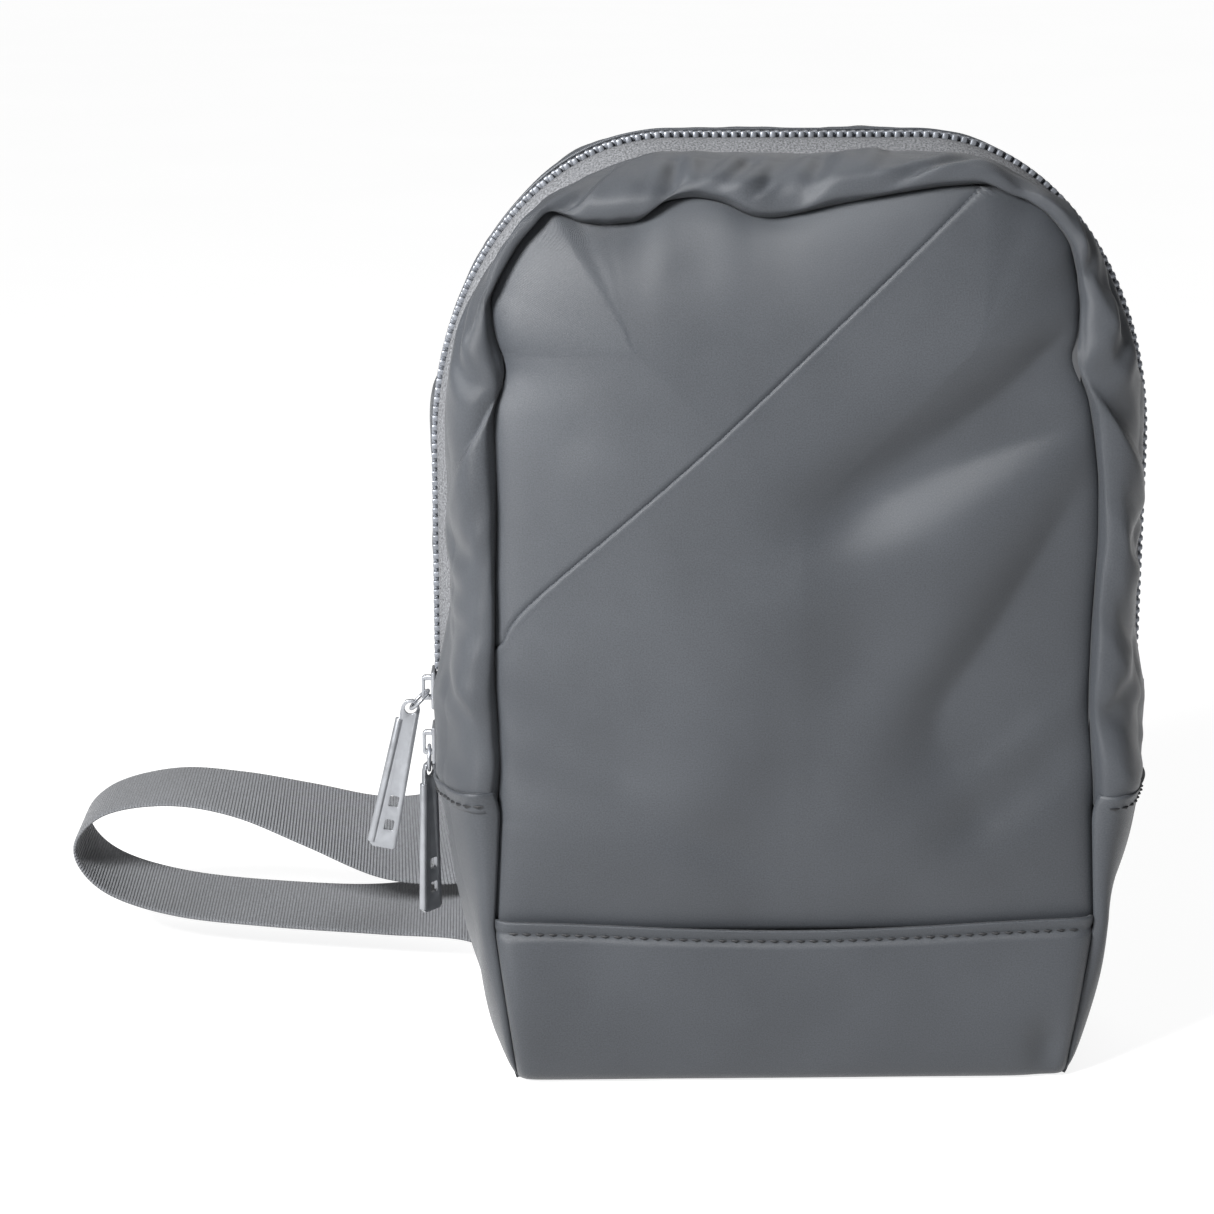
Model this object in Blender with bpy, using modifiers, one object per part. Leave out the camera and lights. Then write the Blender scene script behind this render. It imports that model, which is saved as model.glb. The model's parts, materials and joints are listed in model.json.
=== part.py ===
"""Sling bag: a padded clamshell body, a two-slider zip and an adjustable webbing strap.

Metres, +Z up. The origin is the middle of the base, on the floor. The front faces -Y and +X is to
the right. The zip lies in the plane Y = 0, and the front half folds forward about its two ends.
"""
import math

import bmesh
import bpy
from mathutils import Matrix, Vector

# ---- Driving dimensions -------------------------------------------------------------------------
BODY_DEPTH = 0.090           # front face to back face
ZIP_HALF_WIDTH = 0.109       # half width at the zip, the widest place
ZIP_TOP = 0.287              # height of the zip's top run
FACE_HALF_WIDTH = 0.090      # half width of the front and back faces
FACE_DROP = 0.017            # the faces' top lies this far under the zip's
BASE_HALF_WIDTH = 0.085      # half width of the base
FOLD_HEIGHT = 0.088          # height of the zip's ends, where the front half folds
BAND_TOP = 0.051             # top edge of the stitched band along the front's foot
PANEL_THICKNESS = 0.002      # coated fabric with its backing
TAPE_THICKNESS = 0.001
CHAIN_THICKNESS = 0.0024     # zip teeth
CHAIN_WIDTH = 0.0052         # one side of the zip's teeth
CHAIN_GAP = 0.0016           # between the two sides, where the sliders' posts run
TAPE_WIDTH = 0.0075
GAP = 0.0003                 # between neighbours
FOAM_THICKNESS = 0.005
LINING_THICKNESS = 0.0008
LINING_INSET = 0.0052        # from the outer faces in to the lining
FOAM_INSET = 0.0058
FOAM_FOOT = 0.010            # the foam starts this far above the floor
REAR_LINING_FOOT = 0.0078
BOARD_THICKNESS = 0.003
BOARD_INSET = 0.006
SLIDER_LENGTH = 0.012
SLIDER_WIDTH = 0.010
SLIDER_PLATE = 0.0014
UPPER_SLIDER_HEIGHT = 0.115
LOWER_SLIDER_HEIGHT = 0.097
RING_RADIUS = 0.004
RING_WIRE = 0.0006           # radius of the ring's wire
PULLER_LENGTH = 0.050
PULLER_WIDTH = 0.0085
PULLER_THICKNESS = 0.0014
PULLER_RIM_RADIUS = 0.0013   # the round bar along one edge
PULLER_HOLE_RADIUS = 0.0019
PULLER_HEAD_WALL = 0.0011
PULLER_FOOT_CUT = 0.001      # the cut corners of its foot
PULLER_SLOT = (-0.0008, 0.0022, 0.0036)    # left, right and height
PULLER_SLOT_RISES = (0.006, 0.014)         # the slots, from the foot up
BRIDGE_HOLE = (0.0021, 0.0048)   # the slider's eye: out from the bag, and up
BRIDGE_WALL = 0.001
BRIDGE_THICKNESS = 0.0018
BRIDGE_SHOULDER = 0.0008
BRIDGE_FOOT = 0.0006
POST_HALF_WIDTH = 0.0005
POST_RISE = (0.001, 0.005)   # the slider's post, from its middle up
BRIDGE_DROP = 0.0012         # from the eye's middle down to the ring's wire
UPPER_RING_LEAN = 45.0       # degrees outward from straight down
UPPER_PULLER_LEAN = 12.0
LOWER_PULLER_TURN = 50.0     # degrees about the vertical
WEBBING_WIDTH = 0.038
WEBBING_THICKNESS = 0.0015
STRAP_PAD_WIDTH = 0.056
STRAP_PAD_THICKNESS = 0.005

FACE_TOP = ZIP_TOP - FACE_DROP
HALF_DEPTH = BODY_DEPTH / 2
FRONT = -HALF_DEPTH
BACK = HALF_DEPTH
CORNER_STEPS = 8

# ---- Scene helpers ------------------------------------------------------------------------------
for old in list(bpy.data.objects):
    bpy.data.objects.remove(old)

PARTS = bpy.data.collections.new("sling_bag")
bpy.context.scene.collection.children.link(PARTS)


def material(name, colour, roughness, metallic=0.0):
    """A Principled material, made once for each name."""
    found = bpy.data.materials.get(name)
    if found:
        return found
    made = bpy.data.materials.new(name)
    made.use_nodes = True
    shader = made.node_tree.nodes["Principled BSDF"]
    shader.inputs["Base Color"].default_value = (*colour, 1.0)
    shader.inputs["Roughness"].default_value = roughness
    shader.inputs["Metallic"].default_value = metallic
    return made


SHELL = ("shell_fabric", (0.11, 0.115, 0.12), 0.55)
LINING = ("lining_fabric", (0.06, 0.062, 0.066), 0.7)
FOAM = ("foam", (0.3, 0.3, 0.3), 0.9)
BOARD = ("stiffener", (0.05, 0.05, 0.05), 0.5)
TAPE = ("zip_tape", (0.13, 0.135, 0.14), 0.8)
TEETH = ("zip_teeth", (0.3, 0.31, 0.33), 0.35, 0.6)
METAL = ("gunmetal", (0.2, 0.2, 0.22), 0.25, 1.0)
WEBBING = ("webbing", (0.09, 0.093, 0.098), 0.8)
PLASTIC = ("moulded_plastic", (0.03, 0.03, 0.033), 0.4)


def keep(obj, finish):
    """Put a finished object among the parts, with a material of its own."""
    for group in list(obj.users_collection):
        group.objects.unlink(obj)
    PARTS.objects.link(obj)
    obj.data.materials.clear()
    name, *values = finish
    obj.data.materials.append(material(f"{name}_{obj.name}", *values))
    return obj


def object_from(bm, name, finish):
    """Make an object of a bmesh."""
    mesh = bpy.data.meshes.new(name)
    bm.normal_update()
    bm.to_mesh(mesh)
    bm.free()
    return keep(bpy.data.objects.new(name, mesh), finish)


def thicken(obj, thickness, offset=0.0):
    """Give an open surface its wall: offset -1 is inwards, 0 is both ways."""
    solid = obj.modifiers.new("wall", "SOLIDIFY")
    solid.thickness = thickness
    solid.offset = offset
    solid.use_even_offset = True
    return obj


def apply_modifiers(obj):
    """Replace an object's mesh with its evaluated mesh."""
    graph = bpy.context.evaluated_depsgraph_get()
    mesh = bpy.data.meshes.new_from_object(obj.evaluated_get(graph))
    obj.modifiers.clear()
    obj.data = mesh
    return obj


def join_solids(target, others):
    """Boolean union of several solids into one."""
    for other in others:
        union = target.modifiers.new("union", "BOOLEAN")
        union.operation = "UNION"
        union.solver = "EXACT"
        union.object = other
        apply_modifiers(target)
        bpy.data.objects.remove(other)
    return target


def block(name, low, high, finish, bevel=0.0):
    """A box between two corners, with rounded edges."""
    bm = bmesh.new()
    bmesh.ops.create_cube(bm, size=1.0)
    size = Vector(high) - Vector(low)
    middle = (Vector(high) + Vector(low)) / 2
    bmesh.ops.scale(bm, vec=size, verts=bm.verts)
    bmesh.ops.translate(bm, vec=middle, verts=bm.verts)
    obj = object_from(bm, name, finish)
    if bevel:
        rounded = obj.modifiers.new("rounded", "BEVEL")
        rounded.width = bevel
        rounded.segments = 2
        apply_modifiers(obj)
    return obj


def plate(name, outlines, thickness, finish):
    """A flat piece: closed outlines in X and Z, the first the edge and the others holes, at Y = 0."""
    curve = bpy.data.curves.new(name, "CURVE")
    curve.dimensions = "2D"
    curve.fill_mode = "BOTH"
    curve.extrude = thickness / 2
    for outline in outlines:
        spline = curve.splines.new("POLY")
        spline.points.add(len(outline) - 1)
        for point, (x, z) in zip(spline.points, outline):
            point.co = (x, z, 0.0, 1.0)
        spline.use_cyclic_u = True
    flat = bpy.data.objects.new(name, curve)
    bpy.context.scene.collection.objects.link(flat)
    graph = bpy.context.evaluated_depsgraph_get()
    bm = bmesh.new()
    bm.from_mesh(flat.evaluated_get(graph).to_mesh())
    bpy.data.objects.remove(flat)
    bmesh.ops.remove_doubles(bm, verts=bm.verts, dist=0.00001)
    for vert in bm.verts:
        x, z, depth = vert.co
        vert.co = (x, -depth, z)
    bmesh.ops.recalc_face_normals(bm, faces=bm.faces)
    return object_from(bm, name, finish)


def place(obj, location, turn=None):
    """Turn a piece made at the origin, and put its origin at a place."""
    obj.rotation_euler = turn or (0.0, 0.0, 0.0)
    obj.location = location
    return obj


def set_origin(obj, origin):
    """Move an object's origin without moving its shape."""
    obj.data.transform(Matrix.Translation(-Vector(origin)))
    obj.location = origin
    return obj


def sheet(name, rows, thickness, finish, offset=0.0, skip=None):
    """An open surface through rows of points, thickened. skip(row, column) leaves a cell out."""
    bm = bmesh.new()
    grid = [[bm.verts.new(point) for point in row] for row in rows]
    for r in range(len(rows) - 1):
        for c in range(len(rows[0]) - 1):
            if skip and skip(r, c):
                continue
            bm.faces.new((grid[r][c], grid[r][c + 1], grid[r + 1][c + 1], grid[r + 1][c]))
    loose = [vert for vert in bm.verts if not vert.link_faces]
    bmesh.ops.delete(bm, geom=loose, context="VERTS")
    return thicken(object_from(bm, name, finish), thickness, offset)


# ---- The bag's outline ---------------------------------------------------------------------------
FACE_PROFILE = ((0.0, BASE_HALF_WIDTH), (BAND_TOP, FACE_HALF_WIDTH + 0.002), (FOLD_HEIGHT, FACE_HALF_WIDTH))
ZIP_PROFILE = ((0.0, BASE_HALF_WIDTH + 0.006), (BAND_TOP, ZIP_HALF_WIDTH - 0.009), (FOLD_HEIGHT, ZIP_HALF_WIDTH))
FACE_CORNER = (0.038, 0.042)     # the face's upper corners: across and up
ZIP_CORNER = (0.072, 0.095)      # the zip's upper corners
FOLD_CLEARANCE = 0.050           # the side panels stay under this height where the front half swings
FOLD_REAR_EDGE = 0.0026          # the fold's pieces stop this far in front of the zip's plane
TAPE_START = CHAIN_GAP / 2 + CHAIN_WIDTH + GAP
GUSSET_START = TAPE_START + TAPE_WIDTH + GAP
GUSSET_EDGE = GUSSET_START + 0.0014   # the gusset's slanting wall leans this much towards the tape
PANEL_INNER = HALF_DEPTH - PANEL_THICKNESS
GUSSET_END = PANEL_INNER - GAP


def between(a, b, share):
    """The value a share of the way from a to b."""
    return a + (b - a) * share


def profile_width(profile, height):
    """Half width at a height, from a list of heights and half widths."""
    for (z0, w0), (z1, w1) in zip(profile, profile[1:]):
        if height <= z1:
            return between(w0, w1, (height - z0) / (z1 - z0))
    return profile[-1][1]


def zip_share(depth):
    """1 on the flat strip that the zip lies in, falling to 0 at the front and back faces."""
    return min(1.0, (HALF_DEPTH - abs(depth)) / (HALF_DEPTH - GUSSET_START))


def half_width(depth, height):
    """Half width of the body at a depth and a height below the upper corners."""
    share = zip_share(depth)
    return between(profile_width(FACE_PROFILE, height), profile_width(ZIP_PROFILE, height), share)


def outline(depth, inset=0.0, left=FOLD_HEIGHT, right=FOLD_HEIGHT):
    """The body's outline at a depth: up the left side, over the top and down the right side."""
    share = zip_share(depth)
    top = between(FACE_TOP, ZIP_TOP, share) - inset
    across = between(FACE_CORNER[0], ZIP_CORNER[0], share) - inset
    up = between(FACE_CORNER[1], ZIP_CORNER[1], share) - inset
    shoulder = top - up
    corner = half_width(depth, shoulder) - inset - across

    def side(sign, bottom):
        heights = {bottom, shoulder, between(bottom, shoulder, 0.5)}
        heights |= {z for z, _ in FACE_PROFILE if bottom < z < shoulder}
        points = [(sign * (half_width(depth, z) - inset), z) for z in sorted(heights)]
        for step in range(1, CORNER_STEPS + 1):
            angle = math.pi / 2 * step / CORNER_STEPS
            points.append((sign * (corner + across * math.cos(angle)), shoulder + up * math.sin(angle)))
        return points

    return side(-1, left) + [(0.0, top)] + list(reversed(side(1, right)))


def row(depth, **where):
    """The outline at a depth, as points in space."""
    return [(x, depth, z) for x, z in outline(depth, **where)]


def clip(polygon, point, normal):
    """The part of a flat polygon on the side of a line that the normal points to."""
    kept = []
    for here, after in zip(polygon, polygon[1:] + polygon[:1]):
        side_here = (Vector(here) - point).dot(normal)
        side_after = (Vector(after) - point).dot(normal)
        if side_here >= 0.0:
            kept.append(tuple(here))
        if (side_here < 0.0) != (side_after < 0.0):
            kept.append(tuple(Vector(here).lerp(Vector(after), side_here / (side_here - side_after))))
    return kept


def shift_depth(obj, depth):
    """Move a flat piece made at Y = 0 to its depth."""
    obj.data.transform(Matrix.Translation((0.0, depth, 0.0)))
    return obj


# ---- Front half: everything that folds forward ---------------------------------------------------
DIAGONAL_LOW = Vector((-0.090, 0.144))      # the pocket's slanting edge, across the front panel
DIAGONAL_HIGH = Vector((0.054, 0.272))
POCKET_DEPTH_INSET = 0.008
PIPING_RADIUS = 0.0008
PIPING_MARGIN = 0.004        # the piping stops this far from the seams
BINDING_INSET = 0.0036
BINDING_WIDTH = 0.002
BINDING_SINK = 0.001         # the binding stays this far inside the end of its gusset
LINING_FACE_INSET = 0.0022   # from the panel in to the lining that faces it
LINING_MOUTH = 0.002         # the linings end this far from the zip
TEETH_CLEARANCE = 0.005      # between the upper slider and the teeth that are open
TEETH_END = 0.004            # the front's last teeth stop this far above the zip's end
STOP_ROOM = 0.0026           # and the rear's, above the end stops
STOP_HEIGHT = 0.0022
STOP_DEPTH = (-0.0005, 0.005)
EDGE_ROUND = 0.0004          # rounded edge of a small hard piece


def diagonal_normal():
    """Unit vector square to the pocket's edge, up and to the left."""
    along = (DIAGONAL_HIGH - DIAGONAL_LOW).normalized()
    return Vector((-along.y, along.x))


def front_panels():
    """The upper panel and the pocket's panel, which meet along the slanting edge."""
    normal = diagonal_normal()
    whole = outline(FRONT, left=FOLD_HEIGHT + GAP, right=FOLD_HEIGHT + GAP)
    middle = FRONT + PANEL_THICKNESS / 2
    upper = clip(whole, DIAGONAL_LOW + normal * GAP / 2, normal)
    lower = clip(whole, DIAGONAL_LOW - normal * GAP / 2, -normal)
    pieces = [shift_depth(plate("front_panel_upper", [upper], PANEL_THICKNESS, SHELL), middle)]
    pieces.append(shift_depth(plate("front_pocket_panel", [lower], PANEL_THICKNESS, SHELL), middle))
    return pieces


def pocket_lining():
    """The flat bag of the pocket, behind the front panels."""
    normal = diagonal_normal()
    inset = POCKET_DEPTH_INSET
    whole = outline(FRONT, inset=inset, left=FOLD_HEIGHT + inset, right=FOLD_HEIGHT + inset)
    shape = clip(whole, DIAGONAL_LOW + normal * inset, -normal)
    middle = -PANEL_INNER + GAP + LINING_THICKNESS / 2
    return shift_depth(plate("pocket_lining", [shape], LINING_THICKNESS, LINING), middle)


def pocket_edge_piping():
    """The rolled edge along the pocket's mouth."""
    curve = bpy.data.curves.new("pocket_edge_piping", "CURVE")
    curve.dimensions = "3D"
    curve.bevel_depth = PIPING_RADIUS
    curve.bevel_resolution = 2
    curve.use_fill_caps = True
    spline = curve.splines.new("POLY")
    spline.points.add(1)
    margin = (DIAGONAL_HIGH - DIAGONAL_LOW).normalized() * PIPING_MARGIN
    depth = FRONT - GAP - PIPING_RADIUS
    for point, end in zip(spline.points, (DIAGONAL_LOW + margin, DIAGONAL_HIGH - margin)):
        point.co = (end.x, depth, end.y, 1.0)
    return keep(bpy.data.objects.new("pocket_edge_piping", curve), SHELL)


def shell_band(name, start, end, thickness, finish, offset=0.0, steps=1, **where):
    """A band of the body's wall between two depths, over the top from side to side."""
    depths = [between(start, end, step / steps) for step in range(steps + 1)]
    return sheet(name, [row(depth, **where) for depth in depths], thickness, finish, offset)


def tray(name, mouth, back, bottom):
    """A lining: walls from the mouth to a closing face, open at the foot."""
    where = {"inset": LINING_INSET, "left": bottom, "right": bottom}
    bm = bmesh.new()
    shoulder = math.copysign(GUSSET_START, back)
    rows = [[bm.verts.new(point) for point in row(depth, **where)] for depth in sorted((mouth, shoulder, back))]
    for near, far in zip(rows, rows[1:]):
        for c in range(len(near) - 1):
            bm.faces.new((near[c], near[c + 1], far[c + 1], far[c]))
    bm.faces.new(list(reversed(rows[0])) if back < mouth else rows[-1])
    return thicken(object_from(bm, name, LINING), LINING_THICKNESS, 0.0)


def front_half():
    """The pieces of the front half, in order."""
    start = UPPER_SLIDER_HEIGHT + SLIDER_LENGTH / 2 + TEETH_CLEARANCE
    right_end = FOLD_HEIGHT + TEETH_END
    fold = {"left": FOLD_HEIGHT + GAP, "right": FOLD_HEIGHT + GAP}
    pieces = front_panels()
    pieces.append(pocket_edge_piping())
    pieces.append(pocket_lining())
    pieces.append(shell_band("front_gusset", -GUSSET_END, -GUSSET_EDGE, PANEL_THICKNESS, SHELL, -1.0, **fold))
    pieces.append(shell_band("front_zip_tape", -TAPE_START - TAPE_WIDTH, -TAPE_START, TAPE_THICKNESS, TAPE, **fold))
    teeth_start = -CHAIN_GAP / 2 - CHAIN_WIDTH
    pieces.append(shell_band("front_zip_teeth", teeth_start, -CHAIN_GAP / 2, CHAIN_THICKNESS, TEETH,
                             left=start, right=right_end))
    binding = -GUSSET_END + BINDING_SINK
    pieces.append(shell_band("front_seam_binding", binding, binding + BINDING_WIDTH, LINING_THICKNESS, LINING,
                             inset=BINDING_INSET, **fold))
    pieces.append(tray("front_lining", -LINING_MOUTH, -PANEL_INNER + LINING_FACE_INSET, FOLD_HEIGHT + GAP))
    return pieces


# ---- Fold: the slack of the front and of the sides under the zip's ends ----------------------------
def side_sheet(name, sign, depths, heights, finish, skip=None):
    """Part of one side wall, its outer face on the body's surface."""
    levels = heights if sign < 0 else list(reversed(heights))
    rows = [[(sign * half_width(y, z), y, z) for z in levels] for y in depths]
    return sheet(name, rows, PANEL_THICKNESS, finish, -1.0, skip)


def fold():
    """The front's foot and the two front side walls, which crumple as the front half folds."""
    low, high = BAND_TOP + GAP, FOLD_HEIGHT - GAP
    foot = [(sign * half_width(FRONT, z), z) for sign, z in ((-1, low), (-1, high), (1, high), (1, low))]
    front = plate("fold_front", [foot], PANEL_THICKNESS, SHELL)
    shift_depth(front, FRONT + PANEL_THICKNESS / 2)
    depths = [-GUSSET_END, -GUSSET_START, -FOLD_REAR_EDGE]
    heights = [FOLD_CLEARANCE + GAP, 0.07, high]
    return [front] + [side_sheet(name, sign, depths, heights, SHELL)
                      for name, sign in (("fold_left", -1), ("fold_right", 1))]


# ---- Back half and base: the root ------------------------------------------------------------------
def side_panel(name, sign):
    """A lower side panel: full depth low down, and only its rear half up to the zip's end."""
    depths = [-GUSSET_END, -GUSSET_START, 0.0, GUSSET_START, GUSSET_END]
    heights = [PANEL_THICKNESS + 2 * GAP, BAND_TOP / 2, FOLD_CLEARANCE, 0.07, FOLD_HEIGHT - GAP]
    last = len(heights) - 2

    def skip(r, c):
        level = c if sign < 0 else last - c
        return r < 2 and level >= 2

    return side_sheet(name, sign, depths, heights, SHELL, skip)


def floor_plate(name, inset, bottom, thickness, finish):
    """A flat piece of the base, widest in the middle of its depth."""
    edge = HALF_DEPTH - inset
    bm = bmesh.new()
    depths = [-edge, -GUSSET_START, GUSSET_START, edge]
    corners = [(1, y) for y in depths] + [(-1, y) for y in reversed(depths)]
    verts = [bm.verts.new((sign * (half_width(y, 0.0) - inset), y, bottom)) for sign, y in corners]
    bm.faces.new(verts)
    return thicken(object_from(bm, name, finish), thickness, 1.0)


def base():
    """Base panel, stiffener board and base lining, one on the other."""
    board_bottom = PANEL_THICKNESS + 2 * GAP
    lining_bottom = board_bottom + BOARD_THICKNESS + GAP
    pieces = [floor_plate("base_panel", PANEL_THICKNESS + GAP, 0.0, PANEL_THICKNESS, SHELL)]
    pieces.append(floor_plate("base_board", BOARD_INSET, board_bottom, BOARD_THICKNESS, BOARD))
    pieces.append(floor_plate("base_lining", BOARD_INSET, lining_bottom, LINING_THICKNESS, LINING))
    return pieces


def base_band():
    """The stitched band along the front's foot."""
    heights = [0.0, BAND_TOP / 2, BAND_TOP]
    left = [(-half_width(FRONT, z), z) for z in heights]
    right = [(half_width(FRONT, z), z) for z in reversed(heights)]
    return shift_depth(plate("base_band", [left + right], PANEL_THICKNESS, SHELL), FRONT + PANEL_THICKNESS / 2)


def lower_lining():
    """The lining of the front and the sides below the fold."""
    depth = -GUSSET_END + 0.0012
    mouth = 0.0015
    bottom = PANEL_THICKNESS + BOARD_THICKNESS + LINING_THICKNESS + 4 * GAP
    rows = []
    for z in (bottom, BAND_TOP / 2, FOLD_CLEARANCE - 0.001):
        left = [(-half_width(y, z) + LINING_INSET, y, z) for y in (mouth, -GUSSET_START, depth)]
        rows.append(left + [(-x, y, z) for x, y, z in reversed(left)])
    return sheet("lower_lining", rows, LINING_THICKNESS, LINING)


def back_half():
    """The pieces of the back half above the base."""
    fold_edge = {"left": FOLD_HEIGHT + GAP, "right": FOLD_HEIGHT + GAP}
    whole = outline(BACK, left=0.0, right=0.0)
    padded = outline(BACK, inset=FOAM_INSET, left=FOAM_FOOT, right=FOAM_FOOT)
    foam_depth = GUSSET_END - FOAM_THICKNESS / 2
    lining_back = GUSSET_END - FOAM_THICKNESS - GAP - LINING_THICKNESS / 2
    pieces = [shift_depth(plate("back_panel", [whole], PANEL_THICKNESS, SHELL), BACK - PANEL_THICKNESS / 2)]
    pieces.append(shift_depth(plate("back_foam", [padded], FOAM_THICKNESS, FOAM), foam_depth))
    pieces.append(shell_band("rear_gusset", GUSSET_EDGE, GUSSET_END, PANEL_THICKNESS, SHELL, -1.0, **fold_edge))
    pieces.append(shell_band("rear_zip_tape", TAPE_START, TAPE_START + TAPE_WIDTH, TAPE_THICKNESS, TAPE, **fold_edge))
    pieces.append(shell_band("rear_zip_teeth", CHAIN_GAP / 2, CHAIN_GAP / 2 + CHAIN_WIDTH, CHAIN_THICKNESS, TEETH,
                             left=FOLD_HEIGHT + STOP_ROOM, right=FOLD_HEIGHT + STOP_ROOM))
    binding = GUSSET_END - BINDING_SINK
    pieces.append(shell_band("rear_seam_binding", binding - BINDING_WIDTH, binding, LINING_THICKNESS, LINING,
                             inset=BINDING_INSET, **fold_edge))
    pieces.append(tray("rear_lining", LINING_MOUTH, lining_back, REAR_LINING_FOOT))
    return pieces


def zip_stops():
    """The two end stops of the zip, on the rear tape."""
    half = CHAIN_THICKNESS / 2
    pieces = []
    for name, sign in (("zip_stop_left", -1), ("zip_stop_right", 1)):
        inner, outer = sorted((sign * (ZIP_HALF_WIDTH - half), sign * (ZIP_HALF_WIDTH + half)))
        low = (inner, STOP_DEPTH[0], FOLD_HEIGHT + GAP)
        pieces.append(block(name, low, (outer, STOP_DEPTH[1], FOLD_HEIGHT + STOP_HEIGHT), METAL, EDGE_ROUND * 0.75))
    return pieces


# ---- Sliders, rings and pullers ------------------------------------------------------------------
SLIDER_INNER = ZIP_HALF_WIDTH - CHAIN_THICKNESS / 2 - GAP
SLIDER_OUTER = ZIP_HALF_WIDTH + CHAIN_THICKNESS / 2 + GAP
EYE_X = -(SLIDER_OUTER + SLIDER_PLATE + BRIDGE_HOLE[0] / 2)


def slider(name, height):
    """A slider: two plates either side of the teeth, the post between them and the puller's eye."""
    half_w, half_l = SLIDER_WIDTH / 2, SLIDER_LENGTH / 2
    outer = SLIDER_OUTER + SLIDER_PLATE
    body = block(name, (-outer, -half_w, height - half_l), (-SLIDER_OUTER, half_w, height + half_l), METAL, EDGE_ROUND)
    inner = block("inner_plate", (-SLIDER_INNER, -half_w, height - half_l),
                  (-SLIDER_INNER + SLIDER_PLATE, half_w, height + half_l), METAL, EDGE_ROUND)
    sink = SLIDER_PLATE / 2
    post = block("post", (-SLIDER_OUTER - sink, -POST_HALF_WIDTH, height + POST_RISE[0]),
                 (-SLIDER_INNER + sink, POST_HALF_WIDTH, height + POST_RISE[1]), METAL)
    eye_out, eye_up = BRIDGE_HOLE[0], BRIDGE_HOLE[1] / 2
    top = outer + eye_out + BRIDGE_WALL
    shoulder = BRIDGE_SHOULDER
    reach = eye_up + BRIDGE_WALL + BRIDGE_FOOT
    edge = [(-outer + sink, height - reach), (-top + shoulder, height - reach), (-top, height - reach + shoulder),
            (-top, height + reach - shoulder), (-top + shoulder, height + reach), (-outer + sink, height + reach)]
    hole = [(-outer, height - eye_up), (-outer - eye_out, height - eye_up),
            (-outer - eye_out, height + eye_up), (-outer, height + eye_up)]
    bridge = plate("bridge", [edge, hole], BRIDGE_THICKNESS, METAL)
    body = join_solids(body, [inner, post, bridge])
    return set_origin(body, (-ZIP_HALF_WIDTH, 0.0, height))


def ring(name, height, lean):
    """A wire ring through the slider's eye, its origin on the wire in the eye."""
    bpy.ops.mesh.primitive_torus_add(major_radius=RING_RADIUS, minor_radius=RING_WIRE, major_segments=28,
                                     minor_segments=8)
    obj = bpy.context.object
    obj.name = obj.data.name = name
    obj.data.transform(Matrix.Rotation(math.pi / 2, 4, "Y"))
    obj.data.transform(Matrix.Translation((0.0, 0.0, -RING_RADIUS)))
    keep(obj, METAL)
    return place(obj, (EYE_X, 0.0, height - BRIDGE_DROP), (0.0, math.radians(lean), 0.0))


def ring_foot(height, lean):
    """The point of the ring's wire across from the eye, where the puller hangs."""
    swing = math.radians(lean)
    return (EYE_X - 2 * RING_RADIUS * math.sin(swing), 0.0,
            height - BRIDGE_DROP - 2 * RING_RADIUS * math.cos(swing))


def rounded_box_outline(left, right, low, high, radius, steps=4):
    """A flat box with round corners."""
    points = []
    corners = ((right - radius, high - radius, 0), (left + radius, high - radius, 1),
               (left + radius, low + radius, 2), (right - radius, low + radius, 3))
    for x, z, quarter in corners:
        for step in range(steps + 1):
            angle = math.pi / 2 * (quarter + step / steps)
            points.append((x + radius * math.cos(angle), z + radius * math.sin(angle)))
    return points


def puller(name):
    """A puller: a tapered plate with a ring hole, two slots and a round bar along one edge."""
    head = PULLER_HOLE_RADIUS + PULLER_HEAD_WALL
    foot = PULLER_WIDTH / 2
    low = -PULLER_LENGTH + head
    notch = PULLER_FOOT_CUT
    slot_left, slot_right, slot_high = PULLER_SLOT
    edge = [(head, 0.0), (head * 0.7, head * 0.75), (0.0, head), (-head * 0.7, head * 0.75), (-head, 0.0),
            (-foot, low + notch), (-foot + notch, low), (foot - notch, low), (foot, low + notch)]
    hole = [(PULLER_HOLE_RADIUS * math.cos(a), PULLER_HOLE_RADIUS * math.sin(a))
            for a in (2 * math.pi * step / 16 for step in range(16))]
    slots = [rounded_box_outline(slot_left, slot_right, low + z, low + z + slot_high, 0.0005, 2)
             for z in PULLER_SLOT_RISES]
    flat = plate(name, [edge, hole] + slots, PULLER_THICKNESS, METAL)
    bm = bmesh.new()
    top, bottom = Vector((-head + 0.0002, 0.0, -0.004)), Vector((-foot + 0.0004, 0.0, low + 0.0014))
    run = top - bottom
    bmesh.ops.create_cone(bm, cap_ends=True, segments=12, radius1=PULLER_RIM_RADIUS, radius2=PULLER_RIM_RADIUS,
                          depth=run.length)
    turn = Vector((0.0, 0.0, 1.0)).rotation_difference(run.normalized()).to_matrix().to_4x4()
    bmesh.ops.transform(bm, matrix=Matrix.Translation((top + bottom) / 2) @ turn, verts=bm.verts)
    rim = object_from(bm, "rim", METAL)
    return join_solids(flat, [rim])


def zip_hardware():
    """Both sliders with their rings and pullers."""
    upper, lower = UPPER_SLIDER_HEIGHT, LOWER_SLIDER_HEIGHT
    pieces = [slider("upper_slider", upper), slider("lower_slider", lower)]
    pieces.append(ring("upper_slider_ring", upper, UPPER_RING_LEAN))
    pieces.append(ring("lower_slider_ring", lower, 0.0))
    pieces.append(place(puller("upper_puller"), ring_foot(upper, UPPER_RING_LEAN),
                        (0.0, math.radians(UPPER_PULLER_LEAN), 0.0)))
    pieces.append(place(puller("lower_puller"), ring_foot(lower, 0.0), (0.0, 0.0, math.radians(LOWER_PULLER_TURN))))
    return pieces


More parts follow.
